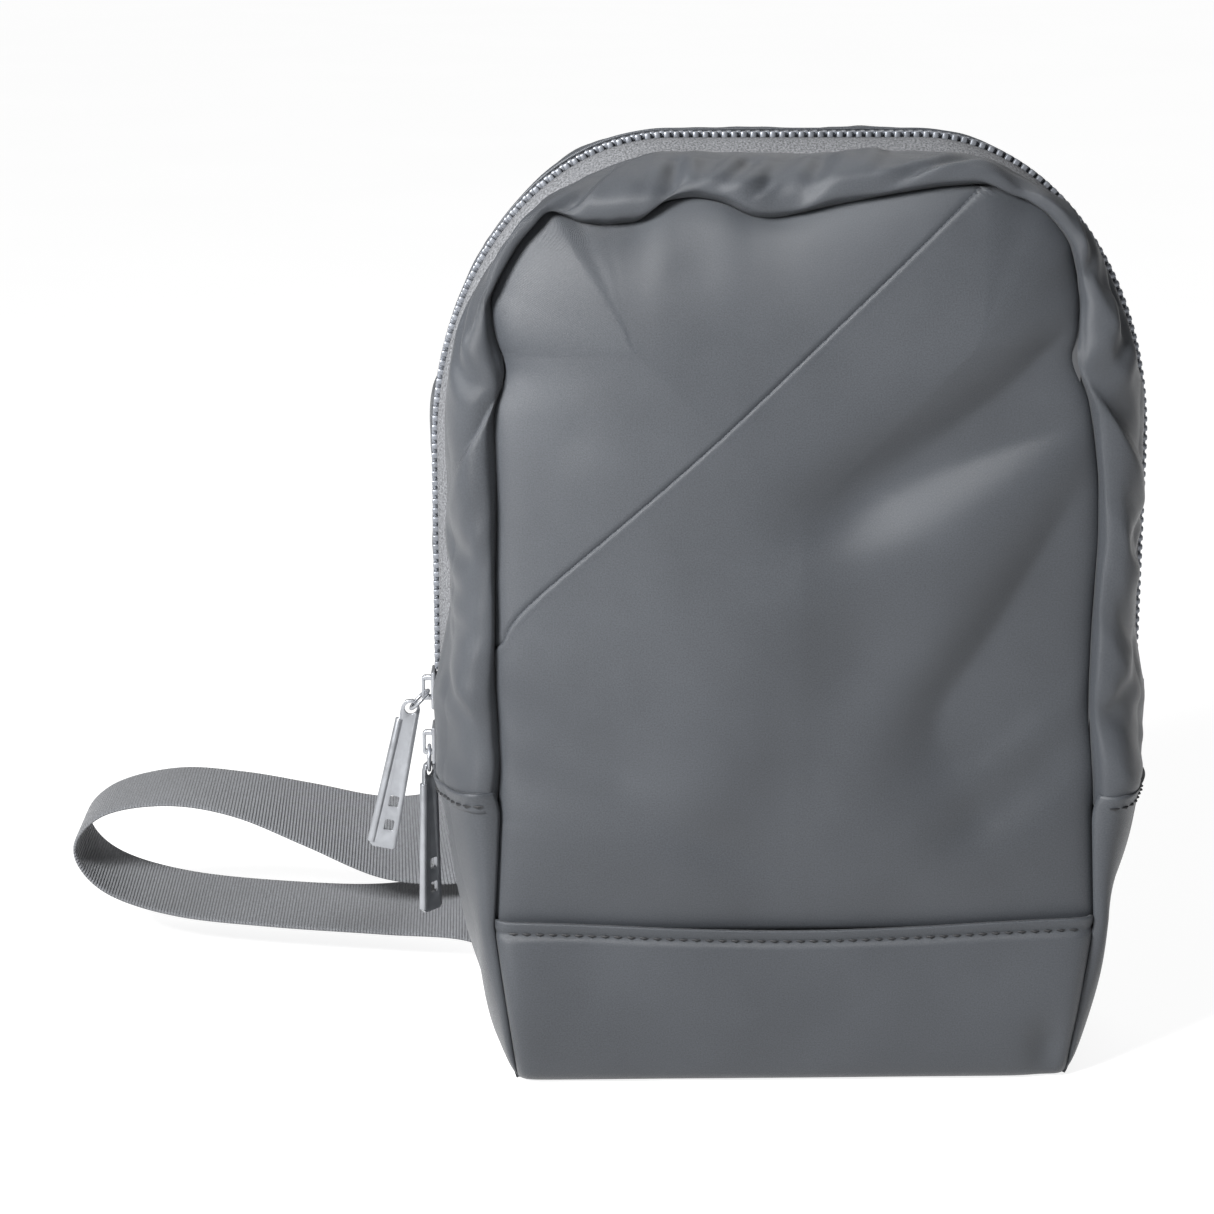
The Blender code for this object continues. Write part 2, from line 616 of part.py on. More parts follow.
# ---- Strap ------------------------------------------------------------------------------------------
# The strap's places are given across, out from the back face, and up.
# The webbing's middle line and its width direction, from the anchor round the loop to the adjuster.
WEBBING_ROUTE = (
    ((-0.030, 0.0030, 0.032), (0.0, 0.0, 1.0)),
    ((-0.060, 0.0036, 0.031), (0.0, 0.0, 1.0)),
    ((-0.082, 0.0125, 0.0240), (0.0, 0.35, 0.93)),
    ((-0.104, 0.0250, 0.0180), (0.0, 0.92, 0.38)),
    ((-0.132, 0.0315, 0.0140), (0.0, 0.99, 0.14)),
    ((-0.170, 0.0390, 0.0135), (0.0, 1.0, 0.095)),
    ((-0.205, 0.0470, 0.0150), (0.0, 1.0, 0.095)),
    ((-0.230, 0.0535, 0.0215), (0.0, 1.0, 0.08)),
    ((-0.240, 0.0570, 0.0340), (0.0, 1.0, 0.03)),
    ((-0.230, 0.0560, 0.0465), (0.0, 1.0, 0.0)),
    ((-0.207, 0.0520, 0.0525), (0.0, 1.0, 0.05)),
    ((-0.183, 0.0475, 0.0510), (0.0, 0.99, 0.12)),
    ((-0.158, 0.0435, 0.0445), (0.0, 0.95, 0.31)),
    ((-0.132, 0.0395, 0.0375), (0.0, 0.85, 0.52)),
    ((-0.108, 0.0330, 0.0400), (-0.2, 0.70, 0.70)),
    ((-0.086, 0.0210, 0.0520), (-0.45, 0.25, 0.86)),
    ((-0.068, 0.0135, 0.0700), (-0.75, 0.0, 0.66)),
    ((-0.0575, 0.0138, 0.0840), (-0.86, 0.0, 0.50)),
)
# The webbing through the adjuster, and the pad's loop round its top bar: along the strap, and behind.
THREAD = ((-0.018, 0.0026), (-0.0105, 0.0028), (-0.0082, 0.0026), (-0.0060, 0.0006), (-0.0038, -0.0021),
          (0.0, -0.0029), (0.0036, -0.0021), (0.0046, 0.0010), (0.0036, 0.0042), (-0.002, 0.0056),
          (-0.010, 0.0054), (-0.026, 0.0056))
LOOP = ((0.0170, 0.0008), (0.0145, 0.0026), (0.0100, 0.0029), (0.0078, 0.0024), (0.0069, 0.0),
        (0.0078, -0.0024), (0.0105, -0.0028), (0.0145, -0.0025), (0.0172, -0.0014))
ROUTE_STEPS = 3
LOCK_CENTRE = Vector((-0.0425, BACK + 0.0110, ZIP_TOP - 0.1745))
LOCK_TILT = 23.0                      # degrees from upright, in the back's plane
LOCK_SIDE = 0.004                     # from the webbing's edge to the lock's side
LOCK_SIZE = (WEBBING_WIDTH + 2 * LOCK_SIDE, 0.0028, 0.024)
LOCK_CORNER = 0.004
LOCK_SLOT_RISE = 0.0055               # the two slots, above and below the middle bar
LOCK_SLOT_HALF_HEIGHT = 0.0031
LOCK_SLOT_MARGIN = 0.0008             # from the webbing's edge to the slot's end
ANCHOR_PATCH = (-0.062, -0.020, 0.032)      # left, right and middle height on the back
ANCHOR_MARGIN = 0.002                  # the patch is this much wider than the webbing on each side
ANCHOR_THICKNESS = 0.0012
PAD_ROOT_ACROSS = (1.0, 0.0, -0.08)    # width direction at the top, which follows the rear wall
PAD_TURN_AFTER = 5                     # points down the pad before its width turns square to its run
PAD_TURN_STEPS = 5
# The pad hangs from the zip's top run, so its heights are measured from there.
PAD_ROUTE = (
    ((0.040, -0.0120, -0.0062), 0.050),
    ((0.040, -0.0040, -0.0092), 0.051),
    ((0.039, 0.0035, -0.0162), 0.052),
    ((0.036, 0.0080, -0.0290), 0.054),
    ((0.025, 0.0090, -0.0470), 0.056),
    ((0.000, 0.0090, -0.0920), 0.056),
    ((-0.022, 0.0100, -0.1320), 0.054),
    ((-0.031, 0.0105, -0.1485), 0.046),
)


def smooth_route(knots, steps):
    """Points along a smooth curve through the knots: Catmull-Rom."""
    points = [Vector(knots[0])]
    for k in range(len(knots) - 1):
        p0, p1 = Vector(knots[max(k - 1, 0)]), Vector(knots[k])
        p2, p3 = Vector(knots[k + 1]), Vector(knots[min(k + 2, len(knots) - 1)])
        for step in range(1, steps + 1):
            t = step / steps
            points.append(0.5 * (2 * p1 + (p2 - p0) * t + (2 * p0 - 5 * p1 + 4 * p2 - p3) * t ** 2
                                 + (3 * p1 - p0 - 3 * p2 + p3) * t ** 3))
    return points


def behind_back(route, level=0.0):
    """The route's points, moved out to the back face and up to a level."""
    return [Vector(point) + Vector((0.0, BACK, level)) for point, _ in route]


def flat_strap(name, middles, acrosses, widths, thickness, finish):
    """A flat strap along a middle line, with its width direction at each point."""
    rows = []
    for middle, across, width in zip(middles, acrosses, widths):
        half = Vector(across).normalized() * width / 2
        rows.append([middle - half, middle + half])
    return sheet(name, rows, thickness, finish)


def at_lock(points):
    """Points given along the strap and behind the adjuster, with the strap's width direction there."""
    tilt = math.radians(LOCK_TILT)
    along = Vector((math.sin(tilt), 0.0, math.cos(tilt)))
    across = Vector((-math.cos(tilt), 0.0, math.sin(tilt)))
    return [(LOCK_CENTRE + along * up + Vector((0.0, behind, 0.0)), across) for up, behind in points]


def webbing():
    """The strap's webbing: one length from the anchor, round the loop and through the adjuster."""
    through = at_lock(THREAD)
    middles = smooth_route(behind_back(WEBBING_ROUTE) + [point for point, _ in through], ROUTE_STEPS)
    acrosses = smooth_route([across for _, across in list(WEBBING_ROUTE) + through], ROUTE_STEPS)
    widths = [WEBBING_WIDTH] * len(middles)
    return flat_strap("strap_webbing", middles, acrosses, widths, WEBBING_THICKNESS, WEBBING)


def strap_pad():
    """The strap's padded upper length, from the top seam down the back."""
    middles = smooth_route(behind_back(PAD_ROUTE, ZIP_TOP), 2)
    widths = [width.x for width in smooth_route([(width, 0.0, 0.0) for _, width in PAD_ROUTE], 2)]
    low, high = middles[-1], middles[4]
    slope = (high - low).normalized()
    square = Vector((slope.z, 0.0, -slope.x))
    turned = [Vector(PAD_ROOT_ACROSS).lerp(square, min(1.0, max(0, step - PAD_TURN_AFTER) / PAD_TURN_STEPS))
              for step in range(len(middles))]
    return flat_strap("strap_pad", middles, turned, widths, STRAP_PAD_THICKNESS, SHELL)


def pad_loop():
    """The loop of webbing at the pad's foot, round the adjuster's top bar."""
    route = at_lock(LOOP)
    middles = smooth_route([point for point, _ in route], ROUTE_STEPS)
    acrosses = [route[0][1]] * len(middles)
    widths = [WEBBING_WIDTH] * len(middles)
    return flat_strap("strap_pad_loop", middles, acrosses, widths, WEBBING_THICKNESS, WEBBING)


def anchor_patch():
    """The webbing patch that sews the strap's end to the back panel."""
    left, right, middle = ANCHOR_PATCH
    half = WEBBING_WIDTH / 2 + ANCHOR_MARGIN
    front = BACK + GAP
    return block("strap_anchor_patch", (left, front, middle - half), (right, front + ANCHOR_THICKNESS, middle + half),
                 WEBBING, EDGE_ROUND)


def adjuster():
    """The ladder lock at the pad's foot: a frame with a middle bar behind the webbing's path."""
    width, depth, height = LOCK_SIZE
    edge = rounded_box_outline(-width / 2, width / 2, -height / 2, height / 2, LOCK_CORNER)
    half_slot = WEBBING_WIDTH / 2 + LOCK_SLOT_MARGIN
    half_high = LOCK_SLOT_HALF_HEIGHT
    slots = [rounded_box_outline(-half_slot, half_slot, z - half_high, z + half_high, LOCK_CORNER / 4, 2)
             for z in (-LOCK_SLOT_RISE, LOCK_SLOT_RISE)]
    lock = plate("strap_adjuster", [edge] + slots, depth, PLASTIC)
    return place(lock, LOCK_CENTRE, (0.0, math.radians(LOCK_TILT), 0.0))


def build():
    """Make every piece, and hang the front half on its fold line."""
    front = front_half()
    hinge = bpy.data.objects.new("front_half_fold_axis", None)
    hinge.location = (0.0, 0.0, FOLD_HEIGHT)
    PARTS.objects.link(hinge)
    bpy.context.view_layer.update()
    for piece in front:
        piece.parent = hinge
        piece.matrix_parent_inverse = hinge.matrix_world.inverted()
    fold()
    base()
    base_band()
    side_panel("side_panel_left", -1)
    side_panel("side_panel_right", 1)
    lower_lining()
    back_half()
    zip_stops()
    zip_hardware()
    webbing()
    strap_pad()
    pad_loop()
    anchor_patch()
    adjuster()


build()
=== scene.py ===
# %% [markdown]
# # A sling bag
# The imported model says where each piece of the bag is. This lesson gives the pieces their looks: puffed
# fabric, sewn seams, a moulded zip, cast metal sliders and a woven strap. Everything is in metres, +Z is
# up and the front faces -Y. First the frame is loaded and its box is measured.

# %% Load the frame
import json
import math

import bmesh
import bpy
import numpy as np
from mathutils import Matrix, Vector


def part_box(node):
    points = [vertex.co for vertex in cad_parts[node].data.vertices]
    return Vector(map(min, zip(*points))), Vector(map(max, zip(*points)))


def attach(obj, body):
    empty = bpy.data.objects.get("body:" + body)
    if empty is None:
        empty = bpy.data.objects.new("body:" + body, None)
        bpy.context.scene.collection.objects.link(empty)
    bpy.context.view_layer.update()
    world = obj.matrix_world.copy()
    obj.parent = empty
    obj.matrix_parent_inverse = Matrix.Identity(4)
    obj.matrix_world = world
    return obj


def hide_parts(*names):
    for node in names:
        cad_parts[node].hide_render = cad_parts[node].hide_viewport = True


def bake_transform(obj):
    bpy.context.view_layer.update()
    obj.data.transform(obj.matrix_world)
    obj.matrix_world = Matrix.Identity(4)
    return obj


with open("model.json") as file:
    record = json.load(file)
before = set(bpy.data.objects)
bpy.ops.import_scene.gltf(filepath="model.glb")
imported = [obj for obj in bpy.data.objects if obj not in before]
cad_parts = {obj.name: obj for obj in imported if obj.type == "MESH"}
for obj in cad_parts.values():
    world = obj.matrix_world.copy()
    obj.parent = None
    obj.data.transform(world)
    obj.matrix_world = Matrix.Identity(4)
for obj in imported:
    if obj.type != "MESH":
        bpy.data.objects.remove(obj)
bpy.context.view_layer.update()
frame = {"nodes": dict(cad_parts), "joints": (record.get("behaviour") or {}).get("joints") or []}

# %% [markdown]
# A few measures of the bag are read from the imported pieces, so that a change of the model's size carries
# over to the looks: the depths of the faces, the widths at the zip and at the face, the top and the fold.

# %% Measures of the bag
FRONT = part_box("front_pocket_panel")[0][1]
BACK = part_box("back_panel")[1][1]
ZIP_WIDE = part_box("rear_zip_tape")[1][0]
ZIP_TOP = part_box("rear_zip_tape")[1][2]
FACE_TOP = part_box("back_panel")[1][2]
FACE_WIDE = 0.090
BASE_WIDE = 0.085
BAND_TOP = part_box("base_band")[1][2]
FOLD = [row for row in frame["joints"] if row["name"] == "front_half_fold"][0]["pos_m"][2]
GUSSET_START = 0.0146                  # depth of the gussets' edges beside the zip
CENTRE_Z = 0.15                        # cloth swells away from this height on the bag's middle line
FACE_CORNER = (0.038, 0.042)           # the face's upper corners: across and up
ZIP_CORNER = (0.072, 0.095)
FACE_PROFILE = ((0.0, BASE_WIDE), (BAND_TOP, FACE_WIDE + 0.002), (FOLD, FACE_WIDE))
ZIP_PROFILE = ((0.0, BASE_WIDE + 0.006), (BAND_TOP, ZIP_WIDE - 0.009), (FOLD, ZIP_WIDE))
print("front", FRONT, "back", BACK, "zip half width", ZIP_WIDE, "zip top", ZIP_TOP, "fold", FOLD)

# %% [markdown]
# The camera stands a little above the bag and looks almost straight at its front, with a long lens so that
# the sides stay nearly parallel. It aims left of the bag's middle, because the strap's loop lies there.

# %% Camera
AIM = Vector((-0.0566, 0.0, 0.1407))
AZIMUTH = math.radians(-1.3)
ELEVATION = math.radians(14.0)
DISTANCE = 0.95
LENS = 89.8
bpy.ops.object.select_all(action="DESELECT")
level = math.cos(ELEVATION)
away = Vector((math.sin(AZIMUTH) * level, -math.cos(AZIMUTH) * level, math.sin(ELEVATION)))
bpy.ops.object.camera_add(location=AIM + away * DISTANCE)
camera = bpy.context.object
camera.name = "camera"
camera.rotation_euler = away.to_track_quat("Z", "Y").to_euler()
camera.data.lens = LENS
camera.data.sensor_width = 36.0
bpy.context.scene.camera = camera
print("camera at", tuple(round(v, 3) for v in camera.location))

# %% [markdown]
# ## Finishes
# Each finish is a node material. The helper below adds a node, sets its values and joins its inputs, so
# that a material reads as a short recipe.

# %% Material helpers
def new_finish(name):
    """An empty material with its Principled shader, ready for its nodes."""
    made = bpy.data.materials.new(name)
    made.use_nodes = True
    tree = made.node_tree
    shader = tree.nodes["Principled BSDF"]
    return made, tree, shader


def node(tree, kind, values=None, settings=None, **links):
    """Add a node: settings are its properties, values its unjoined inputs, links its joined ones."""
    made = tree.nodes.new("ShaderNode" + kind)
    for key, value in (settings or {}).items():
        setattr(made, key, value)
    for key, value in (values or {}).items():
        made.inputs[key].default_value = value
    for key, source in links.items():
        tree.links.new(source, made.inputs[key])
    return made


def ramp(tree, source, low, high, low_colour, high_colour):
    """A two-colour ramp between two values."""
    made = node(tree, "ValToRGB", Fac=source)
    made.color_ramp.elements[0].position = low
    made.color_ramp.elements[0].color = (*low_colour, 1.0)
    made.color_ramp.elements[1].position = high
    made.color_ramp.elements[1].color = (*high_colour, 1.0)
    return made.outputs["Color"]


def multiplied(tree, a, b):
    """Two colours multiplied, each another node's output."""
    made = node(tree, "Mix", settings={"data_type": "RGBA", "blend_type": "MULTIPLY"})
    made.inputs[0].default_value = 1.0
    tree.links.new(a, made.inputs[6])
    tree.links.new(b, made.inputs[7])
    return made.outputs[2]


def mathed(tree, operation, a, b=0.0):
    """One sum of two values, each a number or another node's output."""
    made = node(tree, "Math", settings={"operation": operation})
    for socket, value in zip(made.inputs, (a, b)):
        if isinstance(value, bpy.types.NodeSocket):
            tree.links.new(value, socket)
        else:
            socket.default_value = value
    return made.outputs[0]


# %% [markdown]
# The bag's shell is a coated nylon: a fine plain weave whose threads are about 0.35 mm apart, a soft sheen,
# and a little unevenness where the coating is thicker. The weave follows each piece's own UV map, which
# holds metres along the cloth, so it never stretches over a puffed seam.

# %% Woven finish
def woven(name, colour, pitch, bump, roughness, sheen=0.0, fleck=0.0, uneven=0.12, ribs=None):
    """A woven cloth: two crossed sets of threads, uneven colour, flecks for a heathered yarn, and painted shade in
    the weave's hollows with a painted highlight on its crowns.
    """
    made, tree, shader = new_finish(name)
    uv = node(tree, "UVMap").outputs["UV"]
    place = node(tree, "TexCoord").outputs["Object"]
    split = node(tree, "SeparateXYZ", Vector=uv)
    threads = []
    for axis in ("X", "Y"):
        turn = mathed(tree, "MULTIPLY", split.outputs[axis], 2 * math.pi / pitch)
        threads.append(mathed(tree, "SINE", turn))
    crossed = mathed(tree, "MULTIPLY", threads[0], threads[1])
    height = mathed(tree, "MULTIPLY", crossed, 0.5)
    broad = node(tree, "TexNoise", {"Scale": 18.0, "Detail": 4.0, "Roughness": 0.55}, Vector=place).outputs["Fac"]
    grain = node(tree, "TexNoise", {"Scale": 0.9 / pitch, "Detail": 3.0, "Roughness": 0.7}, Vector=uv).outputs["Fac"]
    deep = tuple(channel * (1.0 - uneven) for channel in colour)
    pale = tuple(min(1.0, channel * (1.0 + uneven)) for channel in colour)
    tone = ramp(tree, broad, 0.3, 0.7, deep, pale)
    speck = ramp(tree, grain, 0.35, 0.65, (0.80 - fleck,) * 3, (1.16 + fleck,) * 3)
    tone = multiplied(tree, tone, speck)
    # Painted shade and highlight: the colour is darker in the hollows between the threads and lighter on their
    # crowns.
    painted_weave_shade = ramp(tree, mathed(tree, "ADD", height, 0.5), 0.0, 1.0, (0.86,) * 3, (1.10,) * 3)
    tree.links.new(multiplied(tree, tone, painted_weave_shade), shader.inputs["Base Color"])
    relief = mathed(tree, "ADD", height, mathed(tree, "MULTIPLY", grain, 0.6))
    if ribs:
        rib = mathed(tree, "SINE", mathed(tree, "MULTIPLY", split.outputs["Y"], 2 * math.pi / ribs))
        relief = mathed(tree, "ADD", relief, mathed(tree, "MULTIPLY", rib, 1.6))
    lift = node(tree, "Bump", {"Strength": 1.0, "Distance": bump}, Height=relief)
    tree.links.new(lift.outputs["Normal"], shader.inputs["Normal"])
    rough = ramp(tree, broad, 0.25, 0.75, (roughness - 0.06,) * 3, (roughness + 0.06,) * 3)
    tree.links.new(rough, shader.inputs["Roughness"])
    shader.inputs["Sheen Weight"].default_value = sheen
    shader.inputs["Sheen Roughness"].default_value = 0.45
    shader.inputs["Specular IOR Level"].default_value = 0.35
    return made


SHELL = woven("shell_nylon", (0.041, 0.0450, 0.0515), 0.00042, 0.00005, 0.42, sheen=0.04)
LINING = woven("lining_cloth", (0.052, 0.054, 0.058), 0.0006, 0.00004, 0.65)
TAPE = woven("heathered_tape", (0.12, 0.123, 0.130), 0.0006, 0.00010, 0.8, fleck=0.45)
WEBBING = woven("ribbed_webbing", (0.125, 0.129, 0.138), 0.0011, 0.00012, 0.7, sheen=0.15, ribs=0.0011)
BINDING = woven("binding_tape", (0.050, 0.052, 0.056), 0.0008, 0.00006, 0.75)
print("woven finishes made")

# %% [markdown]
# Metal and plastic are cast, so their unevenness is finer than their shape: small clouds in the roughness
# and a light wear tone. The zip's teeth are moulded with a satin grey plate finish.

# %% Cast and moulded finishes
def cast(name, colour, metallic, roughness, grain, bump, wear=0.1):
    """A hard finish with clouded colour and roughness and a fine grain."""
    made, tree, shader = new_finish(name)
    place = node(tree, "TexCoord").outputs["Object"]
    cloud = node(tree, "TexNoise", {"Scale": 160.0, "Detail": 5.0, "Roughness": 0.6}, Vector=place).outputs["Fac"]
    fine = node(tree, "TexNoise", {"Scale": grain, "Detail": 3.0, "Roughness": 0.6}, Vector=place).outputs["Fac"]
    deep = tuple(channel * (1.0 - wear) for channel in colour)
    pale = tuple(min(1.0, channel * (1.0 + wear)) for channel in colour)
    tree.links.new(ramp(tree, cloud, 0.35, 0.65, deep, pale), shader.inputs["Base Color"])
    rough = ramp(tree, cloud, 0.3, 0.7, (roughness * 0.8,) * 3, (roughness * 1.2,) * 3)
    tree.links.new(rough, shader.inputs["Roughness"])
    shader.inputs["Metallic"].default_value = metallic
    lift = node(tree, "Bump", {"Strength": 0.6, "Distance": bump}, Height=fine)
    tree.links.new(lift.outputs["Normal"], shader.inputs["Normal"])
    return made


METAL = cast("gunmetal_plate", (0.30, 0.31, 0.33), 0.75, 0.34, 1500.0, 0.00002)
TEETH = cast("teeth_plate", (0.17, 0.18, 0.20), 0.6, 0.38, 1800.0, 0.00002)
PLASTIC = cast("moulded_black", (0.022, 0.023, 0.025), 0.0, 0.42, 2500.0, 0.00003)
BOARD = cast("fibre_board", (0.05, 0.048, 0.045), 0.0, 0.8, 900.0, 0.00010)
FOAM = cast("open_foam", (0.30, 0.30, 0.29), 0.0, 0.95, 2200.0, 0.00030)
# Painted shade: the real thread has the shell's colour; it is coloured near black to stand for the shade in its
# stitch holes.
THREAD_PAINTED_SHADE = cast("sewing_thread_painted_shade", (0.008, 0.0085, 0.010), 0.0, 0.6, 6000.0, 0.00005)
print("cast finishes made")

# %% [markdown]
# ## Helpers for sewn pieces
# A sewn panel is cut from flat cloth, so it starts as a flat grid. Its points are then laid over the bag by
# a rule that takes the place on the cloth, 0 to 1 each way, and gives the place in space. This keeps the
# rows of the grid along the seams, where the folds need them. A Solidify modifier gives it its thickness.

# %% Grid skins
def deselect():
    """Leave nothing selected, because an operator acts on all that is."""
    bpy.ops.object.select_all(action="DESELECT")


def pick(obj):
    """Select one object alone and make it the active one."""
    deselect()
    obj.select_set(True)
    bpy.context.view_layer.objects.active = obj


def apply_all(obj):
    """Apply every modifier of an object, in order."""
    pick(obj)
    for modifier in list(obj.modifiers):
        bpy.ops.object.modifier_apply(modifier=modifier.name)


def thicken(obj, wall, offset=-1.0):
    """A Solidify modifier: -1 puts the wall inside the cloth's outer side, 0 half on each side."""
    solid = obj.modifiers.new("wall", "SOLIDIFY")
    solid.thickness, solid.offset = wall, offset


def subdivide_once(obj):
    """One level of Subdivision Surface."""
    fine = obj.modifiers.new("fine", "SUBSURF")
    fine.levels = fine.render_levels = 1


def round_edges(obj, width):
    """A Bevel modifier of two segments."""
    rounded = obj.modifiers.new("rounded", "BEVEL")
    rounded.width, rounded.segments = width, 2
    return rounded


def vertex_places(obj):
    """The places of an object's vertices, one row each."""
    flat = np.empty(len(obj.data.vertices) * 3)
    obj.data.vertices.foreach_get("co", flat)
    return flat.reshape(-1, 3)


def move_vertices(obj, places):
    """Put an object's vertices at new places."""
    obj.data.vertices.foreach_set("co", places.reshape(-1))
    obj.data.update()


def dress(obj, name, finish, body="root", stands_for=()):
    """Name a finished piece and give it its finish; parent it to the empty of the body it moves with, except that a
    piece of the fold only has its place baked in; and hide the imported parts it stands for.
    """
    obj.name = obj.data.name = name
    obj.data.materials.clear()
    obj.data.materials.append(finish)
    if body == "fold":
        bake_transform(obj)
    else:
        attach(obj, body)
    if stands_for:
        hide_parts(*stands_for)
    print(name, len(obj.data.polygons), "faces")
    return obj


def grid_skin(columns, rows, rule, wall, outward):
    """A grid of cloth laid in space by a rule, with UVs in metres along it, and a wall inwards.

    outward is the direction that the cloth's outer side faces at its middle.
    """
    deselect()
    bpy.ops.mesh.primitive_grid_add(x_subdivisions=columns, y_subdivisions=rows, size=2.0)
    obj = bpy.context.object
    flat = vertex_places(obj)
    laid = rule((flat[:, 0] + 1) / 2, (flat[:, 1] + 1) / 2)
    lay_uv(obj, columns, rows, flat, laid)
    move_vertices(obj, laid)
    middle = obj.data.polygons[len(obj.data.polygons) // 2 + columns // 2]
    if middle.normal.dot(Vector(outward)) < 0.0:
        obj.data.flip_normals()
    if wall:
        thicken(obj, wall)
    apply_all(obj)
    bpy.ops.object.shade_smooth()
    return obj


def lay_uv(obj, columns, rows, flat, laid):
    """UVs that hold the distance along the cloth, measured on its middle row and its middle column."""
    c = np.rint((flat[:, 0] + 1) / 2 * columns).astype(int)
    r = np.rint((flat[:, 1] + 1) / 2 * rows).astype(int)
    table = np.empty((columns + 1, rows + 1, 3))
    table[c, r] = laid
    across = np.linalg.norm(np.diff(table, axis=0), axis=2).mean(axis=1)
    along = np.linalg.norm(np.diff(table, axis=1), axis=2).mean(axis=0)
    across = np.concatenate(([0.0], np.cumsum(across)))
    along = np.concatenate(([0.0], np.cumsum(along)))
    layer = obj.data.uv_layers.active or obj.data.uv_layers.new(name="UVMap")
    index = np.empty(len(obj.data.loops), dtype=int)
    obj.data.loops.foreach_get("vertex_index", index)
    layer.data.foreach_set("uv", np.stack((across[c[index]], along[r[index]]), axis=1).reshape(-1))


# %% [markdown]
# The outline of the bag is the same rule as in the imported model: up the left side, round a corner that is a
# quarter of an ellipse, over the top, and down again. A share of 0 gives the face's outline and 1 the zip's.

# %% Outline of the bag
SIDE_PART, CORNER_PART = 0.235, 0.18      # how much of the way is a side and a corner, out of 0.5


def unit(values):
    """Values held between 0 and 1."""
    return np.clip(values, 0.0, 1.0)


def above(values):
    """Values held at 0 or more."""
    return np.clip(values, 0.0, None)


def as_rows(x, y, z):
    """One row of X, Y and Z for each point."""
    return np.stack((x, y, z), axis=1)


def run_along(points):
    """Distance from the first of some points to each, along the line through them."""
    return np.concatenate(([0.0], np.cumsum(np.linalg.norm(np.diff(points, axis=0), axis=1))))


def profile(rows, height):
    """Half width at each height, from a list of heights and half widths."""
    return np.interp(height, [row[0] for row in rows], [row[1] for row in rows])


def half_width(height, share):
    """Half width at a height, between the face's at a share of 0 and the zip's at 1."""
    return profile(FACE_PROFILE, height) * (1 - share) + profile(ZIP_PROFILE, height) * share


def outline(s, share, bottom=FOLD + 0.0003):
    """The outline's X and Z at a way round it, 0 to 1, and a share between the face's and the zip's."""
    sign = np.where(s < 0.5, -1.0, 1.0)
    way = 0.5 - np.abs(s - 0.5)
    top = FACE_TOP + (ZIP_TOP - FACE_TOP) * share
    across = FACE_CORNER[0] + (ZIP_CORNER[0] - FACE_CORNER[0]) * share
    up = FACE_CORNER[1] + (ZIP_CORNER[1] - FACE_CORNER[1]) * share
    shoulder = top - up
    rise = unit(way / SIDE_PART)
    z = bottom + (shoulder - bottom) * rise
    wide = half_width(z, share)
    angle = unit((way - SIDE_PART) / CORNER_PART) * math.pi / 2
    level = unit((way - SIDE_PART - CORNER_PART) / (0.5 - SIDE_PART - CORNER_PART))
    x = (wide - across) * (1 - level) + across * np.cos(angle)
    z = z + up * np.sin(angle)
    return sign * x, z


STRIP_LEAN = 0.62                      # the front strip's slope, sunk for each metre in front of the teeth
LEAN_DEPTH = 0.0062                    # where the lean starts in front of the zip's plane
LEAN_LOW, LEAN_RUN = 0.120, 0.025      # above the sliders, over this much height


def strip_inset(depth, height):
    """How far inside the zip's outline its front strip lies, which leans so that the teeth stand out."""
    lean = unit((height - LEAN_LOW) / LEAN_RUN)
    return STRIP_LEAN * above(-LEAN_DEPTH - depth) * lean


def pushed(x, z, by):
    """Places moved away from the bag's centre, in X and Z."""
    away = np.hypot(x, z - CENTRE_Z)
    return x + x / away * by, z + (z - CENTRE_Z) / away * by


FACE_DEPTH, WALL_RUN = 0.045, 0.0309      # the faces' depth, and how much of it a wall takes


def share_at(depth):
    """How near a depth is to the zip: 0 at the faces and 1 at the gussets' edges."""
    return unit((FACE_DEPTH - np.abs(depth)) / WALL_RUN)


def risen(distance, reach):
    """A rise from 0 at a seam to nearly 1 well away from it."""
    return 1.0 - np.exp(-distance / reach)


def gauss(distance, width):
    """A smooth bump: 1 in its middle and near 0 beyond twice its width."""
    return np.exp(-(distance / width) ** 2)


def beside_line(x, z, start, end):
    """How far along a line places are, as a share of it, and how far off to its side."""
    run_x, run_z = end[0] - start[0], end[1] - start[1]
    length = math.hypot(run_x, run_z)
    dx, dz = x - start[0], z - start[1]
    return (dx * run_x + dz * run_z) / length ** 2, (dx * run_z - dz * run_x) / length


def waves(seed, s, t, count, low, high, reach=1.0):
    """Soft uneven waves: a few sines of unlike lengths and slants, the same on every run."""
    draw = np.random.default_rng(seed)
    total = np.zeros_like(s)
    for _ in range(count):
        turns = draw.uniform(low, high)
        slant = draw.uniform(-reach, reach)
        total += np.sin(2 * math.pi * (turns * s + slant * t) + draw.uniform(0, 6.28))
    return total / math.sqrt(count)


# %% [markdown]
# ## The front seam
# The puffed wall is sewn to the front panel along one seam. A sewn line on a full, soft bag is never a clean
# arch: it steps in where the wall is pulled tight and droops where it is slack. So the seam has its own
# path, a list of places on the front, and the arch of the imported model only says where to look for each.

